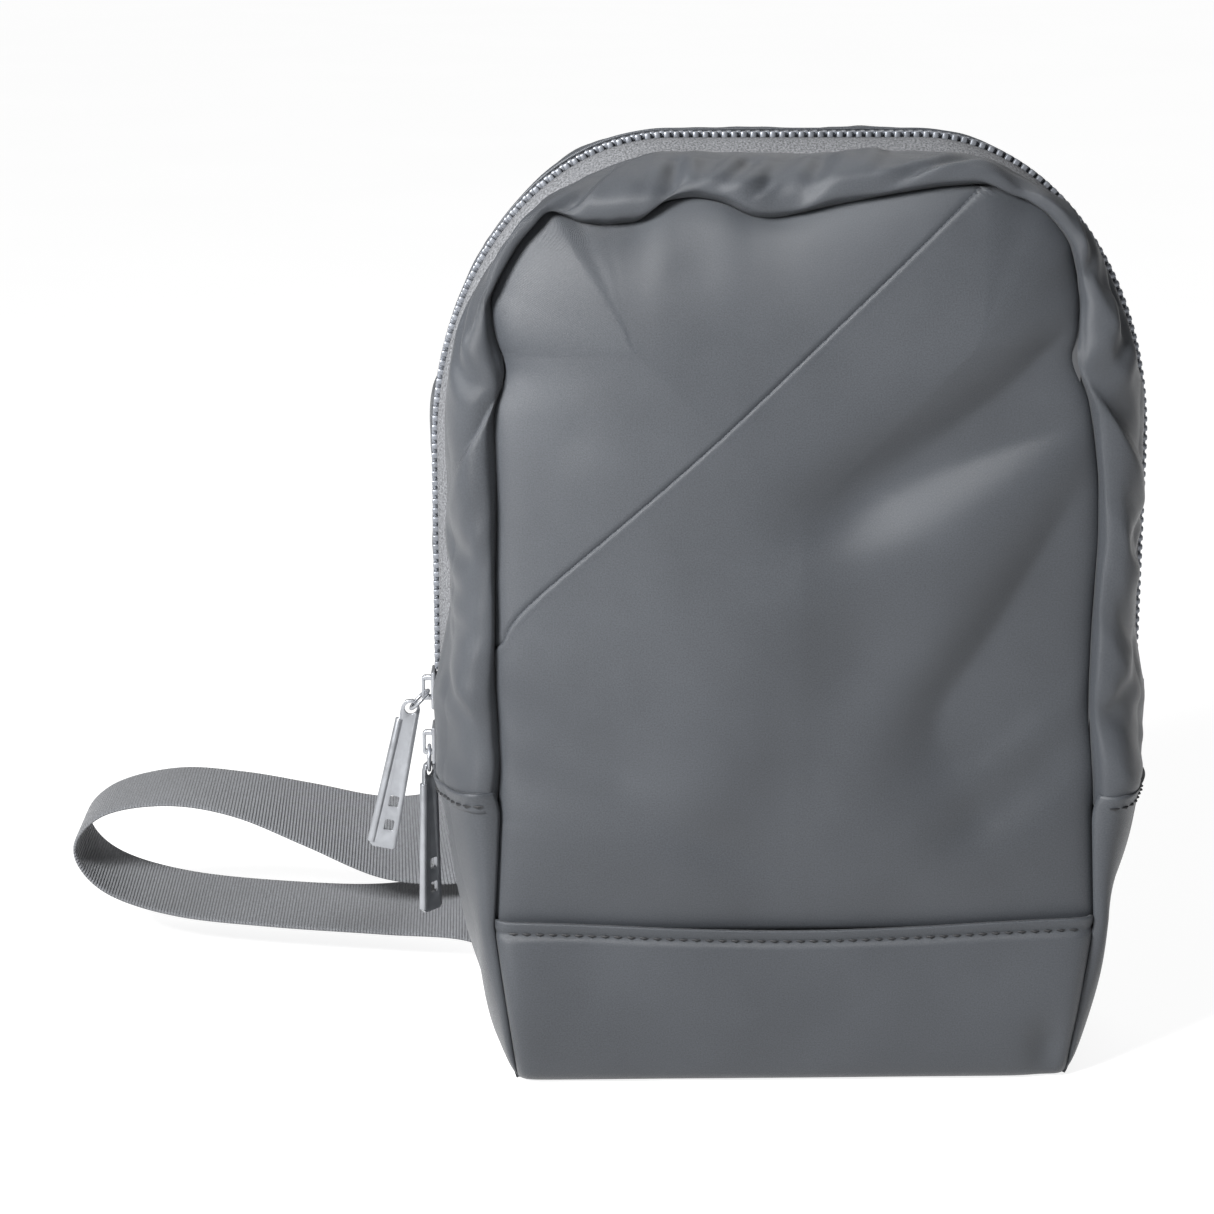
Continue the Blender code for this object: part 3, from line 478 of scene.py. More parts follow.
# %% Seam path
SEAM_KNOTS = ((-0.0910, 0.088), (-0.0900, 0.105), (-0.0915, 0.130), (-0.0912, 0.160), (-0.0905, 0.190),
              (-0.0912, 0.212), (-0.0872, 0.222), (-0.0898, 0.231), (-0.0918, 0.244), (-0.0850, 0.2575),
              (-0.0745, 0.2705), (-0.0660, 0.2665), (-0.0580, 0.2655), (-0.0480, 0.2665), (-0.0420, 0.2725),
              (-0.0320, 0.2738), (-0.0240, 0.2725), (-0.0160, 0.2682), (-0.0080, 0.2675), (0.0060, 0.2710),
              (0.0250, 0.2745), (0.0400, 0.2768), (0.0520, 0.2775), (0.0620, 0.2735), (0.0700, 0.2690),
              (0.0775, 0.2600), (0.0800, 0.2500), (0.0808, 0.2380), (0.0800, 0.2255), (0.0848, 0.2150),
              (0.0868, 0.2040), (0.0888, 0.1900), (0.0895, 0.1700), (0.0885, 0.1450), (0.0885, 0.1190),
              (0.0905, 0.1000), (0.0910, 0.088))
ARCH_S = np.linspace(0.0, 1.0, 801)
ARCH_X, ARCH_Z = outline(ARCH_S, np.zeros_like(ARCH_S))
SEAM_LENGTH = float(np.hypot(np.diff(ARCH_X), np.diff(ARCH_Z)).sum())


def arch_at(x, z):
    """The way round the arch nearest to a place on the front."""
    return float(ARCH_S[np.argmin(np.hypot(ARCH_X - x, ARCH_Z - z))])


def eased(values, reach):
    """Values along the arch with their corners eased over a few neighbours."""
    kernel = gauss(np.arange(-3 * reach, 3 * reach + 1), reach)
    padded_values = np.pad(values, 3 * reach, mode="edge")
    return np.convolve(padded_values, kernel / kernel.sum(), mode="valid")


knot_s = np.array([arch_at(*knot) for knot in SEAM_KNOTS])
knot_order = np.argsort(knot_s)
knot_s, knot_place = knot_s[knot_order], np.array(SEAM_KNOTS)[knot_order]
SHIFT_X, SHIFT_Z = (eased(np.interp(ARCH_S, knot_s, knot_place[:, axis] - np.interp(knot_s, ARCH_S, arch)), 4)
                    for axis, arch in enumerate((ARCH_X, ARCH_Z)))


def seam_shift(s):
    """How far the sewn seam lies from the plain arch, in X and Z."""
    return np.interp(s, ARCH_S, SHIFT_X), np.interp(s, ARCH_S, SHIFT_Z)


print("seam", round(SEAM_LENGTH, 4), "m long, shifted by up to", round(float(np.hypot(SHIFT_X, SHIFT_Z).max()), 4))

# %% [markdown]
# Where the zip pulls the wall tight it pinches over the seam, and a crease runs on from the pinch towards
# the zip. Between the pinches the wall swells in lobes. The creases are a second short list: each is a line
# from one place to another on the wall, with a width and a depth.

# %% Pinches and creases
# place on the seam, half length along it, depth, slant of the crease round the wall
PINCHES = (((-0.0872, 0.222), 0.0042, 1.00, -0.030), ((-0.0915, 0.246), 0.0040, 0.55, 0.010),
           ((-0.0745, 0.271), 0.0045, 1.00, 0.012), ((-0.0360, 0.272), 0.0085, 0.90, 0.004),
           ((-0.0060, 0.270), 0.0055, 0.60, -0.012), ((0.0640, 0.272), 0.0040, 0.45, 0.010),
           ((0.0800, 0.251), 0.0045, 0.70, -0.012), ((0.0800, 0.2255), 0.0045, 1.00, -0.030),
           ((0.0885, 0.148), 0.0100, 0.35, 0.012), ((0.0885, 0.116), 0.0055, 0.60, -0.014),
           ((-0.0910, 0.165), 0.0080, 0.30, 0.012), ((-0.0900, 0.110), 0.0065, 0.45, 0.016))
# start and end on the front's arch and as a share of the wall's depth, half width, depth
CREASES = (((-0.0870, 0.221), 0.02, (-0.0900, 0.250), 0.60, 0.0022, 0.0013),
           ((-0.0745, 0.271), 0.05, (-0.0620, 0.270), 0.70, 0.0024, 0.0012),
           ((-0.0430, 0.270), 0.10, (-0.0480, 0.270), 0.55, 0.0024, 0.0014),
           ((-0.0280, 0.270), 0.05, (-0.0200, 0.270), 0.60, 0.0026, 0.0014),
           ((-0.0180, 0.270), 0.12, (-0.0120, 0.270), 0.34, 0.0014, 0.0008),
           ((-0.0020, 0.270), 0.06, (0.0100, 0.270), 0.62, 0.0030, 0.0014),
           ((0.0240, 0.270), 0.10, (0.0560, 0.270), 0.48, 0.0022, 0.0016),
           ((0.0560, 0.269), 0.48, (0.0740, 0.262), 0.60, 0.0030, 0.0010),
           ((0.0800, 0.251), 0.04, (0.0740, 0.262), 0.55, 0.0024, 0.0010),
           ((0.0800, 0.2255), 0.02, (0.0815, 0.254), 0.62, 0.0024, 0.0016),
           ((0.0890, 0.1800), 0.30, (0.0890, 0.205), 0.75, 0.0030, 0.0009),
           ((0.0890, 0.1160), 0.10, (0.0890, 0.150), 0.70, 0.0034, 0.0009),
           ((-0.0890, 0.1100), 0.10, (-0.0890, 0.145), 0.70, 0.0034, 0.0008),
           ((-0.0890, 0.1700), 0.15, (-0.0890, 0.200), 0.72, 0.0034, 0.0008))
WALL_DEPTH = 0.042
pinch_rows = [(arch_at(*place), size / SEAM_LENGTH, depth, slant) for place, size, depth, slant in PINCHES]
crease_rows = [(arch_at(*a), ta, arch_at(*b), tb, width, depth) for a, ta, b, tb, width, depth in CREASES]


def pinched(s, t):
    """How much the wall is pinched, 0 to 1, at a way round and a share of its depth."""
    total = np.zeros_like(s)
    for middle, size, depth, slant in pinch_rows:
        run = gauss(s - middle - slant * t, size * (1.0 + 1.8 * t))
        total += depth * run * unit(1.0 - t / 0.7) ** 1.3
    return np.clip(total, 0.0, 1.1)


def creased(s, t):
    """Depth of the creases: each a valley with a small ridge on both sides."""
    total = np.zeros_like(s)
    for s0, t0, s1, t1, width, depth in crease_rows:
        start, end = (s0 * SEAM_LENGTH, t0 * WALL_DEPTH), (s1 * SEAM_LENGTH, t1 * WALL_DEPTH)
        along, off = beside_line(s * SEAM_LENGTH, t * WALL_DEPTH, start, end)
        fade = gauss(above(np.abs(along - 0.5) - 0.30), 0.28)
        total += depth * fade * (gauss(off, width) - 0.45 * gauss(np.abs(off) - 2.0 * width, width))
    return total


print(len(pinch_rows), "pinches and", len(crease_rows), "creases")

# %% [markdown]
# ## The puffed wall
# From the front seam the wall first swells forwards, so that it rolls over the seam, and then turns back to
# the zip, like the edge of a pillow. A quarter turn does this: its sine is how far out the wall is, and its
# cosine how far back. The pinches, the creases and some soft waves are added along the way.

# %% Puffed walls
CLOTH = 0.0009          # thickness of the coated cloth
SEAM_DIP = 0.0026       # how deep the cloth dips into the front seam


def wall_rule(sign, face, seed, swell, own_seam):
    """The rule of a puffed wall: sign is -1 in front and 1 behind, face the depth of its seam."""
    def rule(s, t):
        quarter = t * math.pi / 2
        out = np.sin(quarter) ** 0.85
        back = (1.0 - np.cos(quarter)) ** 0.90
        x, z = outline(s, out)
        squeeze = pinched(s, t) if own_seam else np.zeros_like(s)
        if own_seam:
            dx, dz = seam_shift(s)
            x, z = x + dx * (1 - t) ** 1.5, z + dz * (1 - t) ** 1.5
        y = face + (sign * GUSSET_START - face) * back
        hill = np.sin(unit(t / 0.58) * math.pi) ** 0.75
        fade = np.sin(t * math.pi) ** 0.6
        foot = unit(np.minimum(s, 1 - s) / 0.02)
        ripple = waves(seed, s, t, 7, 7, 20, 1.6) * 0.0009 + waves(seed + 1, s, t, 6, 24, 50, 2.5) * 0.00022
        crease = creased(s, t) if own_seam else 0.0
        y = y + sign * (hill * swell * (1.0 - 0.82 * squeeze) + 0.6 * (ripple - crease) * fade)
        y = y - sign * SEAM_DIP * gauss(t, 0.045)
        roll = 0.0016 * gauss(t - 0.07, 0.06) * (1.0 - squeeze) if own_seam else 0.0
        puff = (swell * 0.35 + ripple - crease) * fade - 0.0034 * squeeze * unit(t / 0.25) - roll
        puff = puff * foot + 0.0009 * gauss(1.0 - t, 0.10)
        puff = puff - strip_inset(sign * GUSSET_START, z) * t ** 1.5
        if own_seam:
            puff = puff - 0.0024 * gauss(z - 0.145, 0.032) * fade
        else:
            puff = puff + 0.0030 * fade * gauss(above(np.abs(s - 0.19) - 0.055), 0.006)
        x, z = pushed(x, z, puff)
        return as_rows(x, y, z)
    return rule


front_wall_rule = wall_rule(-1, FRONT, 11, 0.0046, True)
rear_wall_rule = wall_rule(1, BACK - 0.0006, 23, 0.0022, False)
front_wall = grid_skin(520, 48, front_wall_rule, CLOTH, (0, -1, 1))
dress(front_wall, "front_gusset_skin", SHELL, "fold", ("front_gusset",))
rear_wall = grid_skin(300, 24, rear_wall_rule, CLOTH, (0, 1, 1))
dress(rear_wall, "rear_gusset_skin", SHELL, "root", ("rear_gusset",))

# %% [markdown]
# ## The front panel
# The panel lies inside its seam, with broad soft hollows where the full bag pushes at it. The distance to
# the seam is measured for every point, so that the cloth can dip into the seam all round.

# %% Panel relief
def arch_distance(x, z):
    """Distance from each point to the plain arch, and the way round it that is nearest."""
    far = np.full(len(x), 9.0)
    nearest = np.zeros(len(x), dtype=int)
    for start in range(0, len(ARCH_S), 4):
        d = np.hypot(x - ARCH_X[start], z - ARCH_Z[start])
        nearer = d < far
        far[nearer] = d[nearer]
        nearest[nearer] = start
    slope_x, slope_z = np.gradient(ARCH_X)[nearest], np.gradient(ARCH_Z)[nearest]
    stretch = np.hypot(slope_x, slope_z)
    past = ((x - ARCH_X[nearest]) * slope_x + (z - ARCH_Z[nearest]) * slope_z) / stretch
    past = np.clip(past, -0.004, 0.004)
    way = unit(ARCH_S[nearest] + past / stretch * (ARCH_S[1] - ARCH_S[0]))
    far = np.sqrt(above(far ** 2 - past ** 2))
    beside = above(profile(FACE_PROFILE, z) - np.abs(x))
    return np.where(z < FOLD + 0.03, np.minimum(far, beside), far), way


# soft valleys of the panel: one end, the other end, half width and depth
VALLEYS = (((0.094, 0.227), (0.008, 0.180), 0.0135, 0.0046), ((0.094, 0.184), (0.040, 0.112), 0.0130, 0.0036),
           ((0.092, 0.150), (0.046, 0.100), 0.0130, 0.0026), ((0.092, 0.112), (0.050, 0.082), 0.0090, 0.0018),
           ((-0.092, 0.124), (-0.046, 0.098), 0.0080, 0.0015), ((-0.090, 0.104), (-0.020, 0.076), 0.0080, 0.0012),
           ((-0.090, 0.222), (-0.066, 0.200), 0.0090, 0.0005), ((-0.034, 0.276), (-0.030, 0.250), 0.0090, 0.0004),
           ((0.020, 0.150), (-0.014, 0.070), 0.0200, 0.0022))


def valley(x, z, start, end, width):
    """A soft hollow along a line, which fades at its ends."""
    along, off = beside_line(x, z, start, end)
    return gauss(off, width) * gauss(above(np.abs(along - 0.5) - 0.32), 0.30)


PILLOW, PILLOW_REACH = 0.0110, 0.040      # how full the panel is, and how soon it rises from its seam
VALLEY_DEPTH = 1.7                        # for every valley


def panel_relief(x, z, far, way):
    """How far forward of the face the panel's cloth lies."""
    away = risen(far, 0.008)
    foot = risen(above(z - BAND_TOP + 0.003), 0.022)
    relief = PILLOW * risen(far, PILLOW_REACH) * foot
    relief += 0.0009 * waves(5, x / 0.2, z / 0.2, 6, 0.6, 1.9, 1.6) * away * foot
    for start, end, width, depth in VALLEYS:
        relief -= VALLEY_DEPTH * depth * valley(x, z, start, end, width) * away
    relief = 0.5 * (relief + np.sqrt(relief ** 2 + 0.0008 ** 2)) - 0.0004
    relief -= SEAM_DIP * np.exp(-far / 0.0028)
    for middle, size, depth, _ in pinch_rows:
        relief -= 0.0014 * depth * gauss(way - middle, size * 2.2) * np.exp(-far / 0.012)
    return relief


# %% [markdown]
# The pocket's panel overlaps the upper one along a slanting edge. Both are cut from one grid of cloth, each
# with the part beyond the edge taken away. The pocket's edge is turned in, so it stands about a millimetre
# proud and is softly rolled, and the upper panel runs on a little way beneath it.

# %% Front panels
EDGE_LOW, EDGE_HIGH = Vector((-0.0915, 0.1440)), Vector((0.0530, 0.2790))
EDGE_ALONG = (EDGE_HIGH - EDGE_LOW).normalized()
EDGE_UP = Vector((-EDGE_ALONG.y, EDGE_ALONG.x))
HEM_ROLL = 0.0012


def edge_height(x, z):
    """Distance above the pocket's slanting edge, which sags a little and turns down at its low end."""
    along = (x - EDGE_LOW.x) * EDGE_ALONG.x + (z - EDGE_LOW.y) * EDGE_ALONG.y
    share = unit(along / (EDGE_HIGH - EDGE_LOW).length)
    sag = 0.0016 * np.sin(share * math.pi) + 0.0040 * np.exp(-share / 0.030)
    return (x - EDGE_LOW.x) * EDGE_UP.x + (z - EDGE_LOW.y) * EDGE_UP.y + sag


def face_place(u, v, bottom):
    """A place on the face: v up, u across, held inside the arch's round corners."""
    shoulder = FACE_TOP - FACE_CORNER[1]
    z = bottom + (FACE_TOP - bottom) * v
    rise = unit((z - shoulder) / FACE_CORNER[1])
    wide = profile(FACE_PROFILE, z) - FACE_CORNER[0] * (1.0 - np.sqrt(unit(1.0 - rise ** 2)))
    return (2 * u - 1) * wide, z


def sewn_place(u, v, bottom):
    """A place on the front panel and its relief: the plain place, pulled along with the seam near it."""
    x, z = face_place(u, v ** 0.85, bottom)
    far, way = arch_distance(x, z)
    dx, dz = seam_shift(way)
    pull = np.exp(-far / 0.016)
    relief = panel_relief(x, z, far, way)
    return x + dx * pull, z + dz * pull, relief


def upper_rule(u, v):
    """The upper panel, which passes under the pocket's edge."""
    x, z, relief = sewn_place(u, v, 0.125)
    under = unit(0.25 - edge_height(x, z) / 0.004)
    return as_rows(x, FRONT - relief + 0.0013 * under, z)


def pocket_rule(u, v):
    """The pocket's panel, with its rolled upper edge."""
    x, z, relief = sewn_place(u, v, BAND_TOP - 0.002)
    down = above(-edge_height(x, z))
    roll = unit(down / HEM_ROLL)
    proud = 0.0009 * np.sqrt(1.0 - (1.0 - roll) ** 2)
    return as_rows(x, FRONT - relief - proud * np.exp(-down / 0.035), z)


def cut_at_edge(obj, sign, margin, wall):
    """Delete the faces beyond the pocket's edge, and give the rest its wall."""
    mesh = bmesh.new()
    mesh.from_mesh(obj.data)
    middles = np.array([face.calc_center_median() for face in mesh.faces])
    heights = edge_height(middles[:, 0], middles[:, 2])
    gone = [face for face, height in zip(mesh.faces, heights) if sign * height < margin]
    bmesh.ops.delete(mesh, geom=gone, context="FACES")
    mesh.to_mesh(obj.data)
    mesh.free()
    thicken(obj, wall)
    apply_all(obj)
    bpy.ops.object.shade_smooth()
    return obj


def snap_to_edge(obj):
    """Slide the points of the pocket's ragged cut up onto the slanting edge itself."""
    place = vertex_places(obj)
    height = edge_height(place[:, 0], place[:, 2])
    near = unit(1.0 + height / 0.0024) * (height < 0.0012)
    place[:, 0] -= EDGE_UP.x * height * near
    place[:, 2] -= EDGE_UP.y * height * near
    move_vertices(obj, place)


upper_panel = cut_at_edge(grid_skin(260, 200, upper_rule, 0, (0, -1, 0)), 1, -0.008, CLOTH)
dress(upper_panel, "front_upper_skin", SHELL, "front_half", ("front_panel_upper",))
pocket_panel = cut_at_edge(grid_skin(230, 240, pocket_rule, 0, (0, -1, 0)), -1, 0.0, 0.0011)
snap_to_edge(pocket_panel)
dress(pocket_panel, "front_pocket_skin", SHELL, "fold",
      ("front_pocket_panel", "pocket_edge_piping", "fold_front"))

# %% [markdown]
# ## Foot band, sides and base
# The band along the foot is a second layer of cloth, stitched along its top edge. It bulges a little and
# has a soft dent near its right end. The lower side panels wrap round from the band to the back, and end in
# a stitched hem.

# %% Foot band
def band_rule(u, v):
    """The foot band: v from the floor to its top edge, which dips in the middle."""
    dip = 0.0034 * np.sin(u * math.pi) ** 1.5
    z = (BAND_TOP + 0.0026 - dip) * v
    x = (2 * u - 1) * profile(FACE_PROFILE, z)
    side = 1.0 - np.abs(2 * u - 1)
    y = FRONT - 0.0026 - 0.0020 * np.sin(v * math.pi) ** 0.7
    y = y + 0.0045 * np.exp(-v / 0.035) + 0.0034 * np.exp(-side / 0.020)
    y = y + 0.0026 * gauss(x - 0.079, 0.006) * gauss(z - 0.010, 0.010)
    soft = waves(31, u, v, 6, 1.5, 4.5, 0.6) * np.sin(v * math.pi)
    y = y + 0.0011 * gauss(v - 0.925, 0.020) - 0.0009 * soft - 0.0008 * gauss(1.0 - v, 0.024)
    return as_rows(x, y, np.maximum(z, 0.0004))


band = grid_skin(260, 64, band_rule, 0.0011, (0, -1, 0))
dress(band, "base_band_skin", SHELL, "root", ("base_band",))

# %% Side panels
HEM_OVER = 0.0060                                 # how far the hem reaches above the fold
SIDES = (("left", -1, 41), ("right", 1, 47))      # name, sign and seed of the waves
FRONT_TURN, BACK_TURN = 0.4, 0.6                  # where the strip under the zip starts and ends across a side


def section(u):
    """Share and depth across a side: round the front wall, over the zip's strip, round the rear wall."""
    quarter = unit(np.minimum(u, 1 - u) / FRONT_TURN) * math.pi / 2
    reach = BACK - (BACK - GUSSET_START) * (1.0 - np.cos(quarter)) ** 0.90
    flat = (unit((u - FRONT_TURN) / 0.2) * 2 - 1) * GUSSET_START
    depth = np.where(u < FRONT_TURN, -reach, np.where(u > BACK_TURN, reach, flat))
    return np.sin(quarter) ** 0.85, depth


def side_rule(sign, seed):
    """A lower side wall: u from the front seam round to the back seam, v from the floor to its hem."""
    def rule(u, v):
        share, depth = section(u)
        lift = HEM_OVER * (0.6 + 0.4 * np.cos(unit(u / 0.6) * math.pi) * (1 if sign < 0 else 0))
        z = 0.0006 + (FOLD + lift) * v
        wide = half_width(z, share)
        free = np.sin(unit(v / 0.96) * math.pi)
        puff = 0.0014 * free + 0.0010 * waves(seed, u, v, 6, 1.0, 3.5, 2.0) * free - 0.0045 * np.exp(-v / 0.05)
        puff = puff * np.sin(u * math.pi) ** 0.5 + 0.0012 * gauss(1.0 - v, 0.05) + 0.0005 * gauss(1.0 - v, 0.015)
        swell = np.sin(unit(u / 0.23) * math.pi) ** 0.75 * (0.0016 + 0.0030 * v ** 4)
        tuck = 0.0045 * np.exp(-v / 0.05) * (1.0 - share)
        depth = depth - swell - 0.0006 * gauss(1.0 - v, 0.04) * (u < FRONT_TURN) + np.where(u < 0.5, tuck, -tuck)
        return as_rows(sign * (wide + puff), depth, z)
    return rule


for side_name, side_sign, side_seed in SIDES:
    side = grid_skin(130, 96, side_rule(side_sign, side_seed), 0.0010, (side_sign, 0, 0))
    dress(side, "side_skin_" + side_name, SHELL, "fold",
          ("side_panel_" + side_name, "fold_" + side_name))

# %% [markdown]
# ## The zip
# The tape is a narrow woven band along the zip's line. The teeth are moulded on its edge, one block every
# 2.9 mm, and the two rows mesh: each row stands half a step from the other. One tooth is shaped, and
# copied at even steps along the zip's line, each copy turned with the line.

# %% Zip tapes
TAPE_EDGE, TAPE_ACROSS = 0.0022, GUSSET_START - 0.0008      # depth of the tape's edge by the teeth, and its width


def tape_rule(sign):
    """The rule of a zip tape: u round the zip's line, v across the tape away from the teeth."""
    def rule(u, v):
        x, z = outline(u, np.ones_like(u))
        y = sign * (TAPE_EDGE + TAPE_ACROSS * v)
        x, z = pushed(x, z, -(0.0004 + 0.0005 * v + strip_inset(y, z)))
        return as_rows(x, y, z)
    return rule


for tape_name, tape_sign, tape_body in (("front", -1, "fold"), ("rear", 1, "root")):
    tape = grid_skin(280, 6, tape_rule(tape_sign), 0.0007, (0, 0, 1))
    dress(tape, tape_name + "_zip_tape_woven", TAPE, tape_body, (tape_name + "_zip_tape",))

# %% Zip teeth
TOOTH_PITCH = 0.0029
TOOTH_LENGTH, TOOTH_REACH, TOOTH_RISE = 0.00185, 0.0036, 0.0026
TOOTH_LAP = 0.0006          # how far each tooth reaches past the zip's plane


def made_tooth():
    """One tooth lying along +Y: a block, narrowed behind its head, with rounded edges."""
    deselect()
    bpy.ops.mesh.primitive_cube_add(size=1.0)
    tooth = bpy.context.object
    bpy.ops.object.mode_set(mode="EDIT")
    bpy.ops.transform.resize(value=(TOOTH_LENGTH, TOOTH_REACH, TOOTH_RISE))
    bpy.ops.transform.translate(value=(0.0, TOOTH_REACH / 2, 0.0))
    bpy.ops.object.mode_set(mode="OBJECT")
    round_edges(tooth, 0.0005)
    apply_all(tooth)
    return tooth


def copied_along(master, places, name):
    """Copies of a small piece in one mesh: places are frames (origin, X axis, Y axis, Z axis)."""
    points = np.array([vert.co for vert in master.data.vertices])
    faces = [list(face.vertices) for face in master.data.polygons]
    all_points, all_faces = [], []
    for number, (origin, *axes) in enumerate(places):
        all_points.append(points @ np.array(axes) + np.array(origin))
        all_faces += [[index + number * len(points) for index in face] for face in faces]
    mesh = bpy.data.meshes.new(name)
    mesh.from_pydata(np.concatenate(all_points).tolist(), [], all_faces)
    mesh.update()
    made = bpy.data.objects.new(name, mesh)
    bpy.context.scene.collection.objects.link(made)
    bpy.data.objects.remove(master)
    pick(made)
    bpy.ops.object.shade_smooth_by_angle(angle=math.radians(40))
    return made


def zip_frames(sign, low_left, low_right, offset):
    """Even steps along the zip's line, above a height on each side."""
    way = np.linspace(0.0, 1.0, 4001)
    x, z = outline(way, np.ones_like(way))
    run = run_along(np.stack((x, z), axis=1))
    steps = np.arange(offset, run[-1], TOOTH_PITCH)
    px, pz = np.interp(steps, run, x), np.interp(steps, run, z)
    ax, az = np.interp(steps + 0.0005, run, x) - px, np.interp(steps + 0.0005, run, z) - pz
    frames = []
    for cx, cz, dx, dz in zip(px, pz, ax, az):
        if cz < (low_left if cx < 0 else low_right):
            continue
        length = math.hypot(dx, dz)
        along = (dx / length, 0.0, dz / length)
        out = (-along[2], 0.0, along[0])     # away from the bag
        frames.append(((cx, -sign * TOOTH_LAP, cz), along, (0.0, sign, 0.0), out))
    return frames


UPPER_Z = sum(corner[2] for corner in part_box("upper_slider")) / 2
for row_name, row_sign, left_z, right_z, offset, row_body in (
        ("front", -1, UPPER_Z + 0.008, FOLD + 0.004, 0.0, "fold"),
        ("rear", 1, FOLD + 0.003, FOLD + 0.003, TOOTH_PITCH / 2, "root")):
    frames = zip_frames(row_sign, left_z, right_z, offset)
    teeth = copied_along(made_tooth(), frames, row_name + "_teeth")
    dress(teeth, row_name + "_teeth_moulded", TEETH, row_body, (row_name + "_zip_teeth",))

# %% [markdown]
# ## Sliders, rings, pullers and the adjuster
# These are cast or moulded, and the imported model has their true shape. A copy of each gets what casting
# gives: every edge is rounded by a narrow bevel. The rings are wire, so theirs is smoothed instead.

# %% Cast hardware
def recast(node_name, bevel, finish, body):
    """A copy of a packed hard piece with its doubles merged and its edges rounded."""
    made = bpy.data.objects.new(node_name + "_cast", frame["nodes"][node_name].data.copy())
    bpy.context.scene.collection.objects.link(made)
    pick(made)
    bpy.ops.object.mode_set(mode="EDIT")
    bpy.ops.mesh.select_all(action="SELECT")
    bpy.ops.mesh.remove_doubles(threshold=0.00002)
    bpy.ops.mesh.dissolve_limited(angle_limit=math.radians(2))
    bpy.ops.object.mode_set(mode="OBJECT")
    if bevel:
        rounded = round_edges(made, bevel)
        rounded.limit_method, rounded.angle_limit = "ANGLE", math.radians(35)
    else:
        subdivide_once(made)
    apply_all(made)
    bpy.ops.object.shade_smooth_by_angle(angle=math.radians(40))
    return dress(made, node_name + "_cast", finish, body, (node_name,))


for level in ("upper", "lower"):
    recast(level + "_slider", 0.00030, METAL, level + "_slider")
    recast(level + "_slider_ring", 0.0, METAL, level + "_slider_ring")
    recast(level + "_puller", 0.00018, METAL, level + "_puller")
for end in ("left", "right"):
    recast("zip_stop_" + end, 0.0002, METAL, "root")
recast("strap_adjuster", 0.0004, PLASTIC, "root")

# %% [markdown]
# ## The strap
# The webbing is one flat band, 38 mm wide. It leaves the anchor low on the back, turns in a loop at the
# bag's left, and comes back up through the adjuster at the foot of the pad. Its middle line is a list of
# places with the direction of its width at each, joined by a smooth curve that passes through them.

# %% Strap route
ROUTE = (((-0.030, 0.0480, 0.032), (0.0, 0.0, 1.0)), ((-0.060, 0.0486, 0.031), (0.0, 0.0, 1.0)),
         ((-0.082, 0.0575, 0.0240), (0.0, 0.35, 0.93)), ((-0.104, 0.0700, 0.0180), (0.0, 0.92, 0.38)),
         ((-0.132, 0.0765, 0.0140), (0.0, 0.99, 0.14)), ((-0.170, 0.0840, 0.0135), (0.0, 1.0, 0.095)),
         ((-0.205, 0.0920, 0.0150), (0.0, 1.0, 0.095)), ((-0.230, 0.0985, 0.0215), (0.0, 1.0, 0.08)),
         ((-0.240, 0.1020, 0.0340), (0.0, 1.0, 0.03)), ((-0.230, 0.1010, 0.0465), (0.0, 1.0, 0.0)),
         ((-0.207, 0.0970, 0.0525), (0.0, 1.0, 0.05)), ((-0.183, 0.0925, 0.0510), (0.0, 0.99, 0.12)),
         ((-0.158, 0.0885, 0.0445), (0.0, 0.95, 0.31)), ((-0.132, 0.0845, 0.0375), (0.0, 0.85, 0.52)),
         ((-0.108, 0.0780, 0.0400), (-0.2, 0.70, 0.70)), ((-0.086, 0.0660, 0.0520), (-0.45, 0.25, 0.86)),
         ((-0.068, 0.0585, 0.0700), (-0.75, 0.0, 0.66)), ((-0.0575, 0.0588, 0.0840), (-0.86, 0.0, 0.50)))
THREAD_PATH = ((-0.018, 0.0026), (-0.0105, 0.0028), (-0.0082, 0.0026), (-0.0060, 0.0006), (-0.0038, -0.0021),
               (0.0, -0.0029), (0.0036, -0.0021), (0.0046, 0.0010), (0.0036, 0.0042), (-0.002, 0.0056),
               (-0.010, 0.0054), (-0.026, 0.0056))
LOOP_PATH = ((0.0170, 0.0008), (0.0145, 0.0026), (0.0100, 0.0029), (0.0078, 0.0024), (0.0069, 0.0),
             (0.0078, -0.0024), (0.0105, -0.0028), (0.0145, -0.0025), (0.0172, -0.0014))
LOCK = np.array([sum(pair) / 2 for pair in zip(*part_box("strap_adjuster"))])
TILT = math.radians(23.0)
LOCK_UP = np.array([math.sin(TILT), 0.0, math.cos(TILT)])
LOCK_ACROSS = (-math.cos(TILT), 0.0, math.sin(TILT))
WEBBING_WIDTH, WEBBING_WALL = 0.038, 0.0014


def at_lock(path):
    """Places given along the strap and behind the adjuster."""
    return [(tuple(LOCK + LOCK_UP * up + np.array([0.0, behind, 0.0])), LOCK_ACROSS) for up, behind in path]


def smooth_through(knots, steps):
    """Rows along a smooth curve through the knots: Catmull-Rom."""
    rows = np.array(knots, float)
    padded_rows = np.vstack((rows[:1], rows, rows[-1:]))
    made = [rows[0]]
    for p0, p1, p2, p3 in zip(padded_rows, padded_rows[1:], padded_rows[2:], padded_rows[3:]):
        for step in range(1, steps + 1):
            t = step / steps
            made.append(0.5 * (2 * p1 + (p2 - p0) * t + (2 * p0 - 5 * p1 + 4 * p2 - p3) * t ** 2
                               + (3 * p1 - p0 - 3 * p2 + p3) * t ** 3))
    return np.array(made)


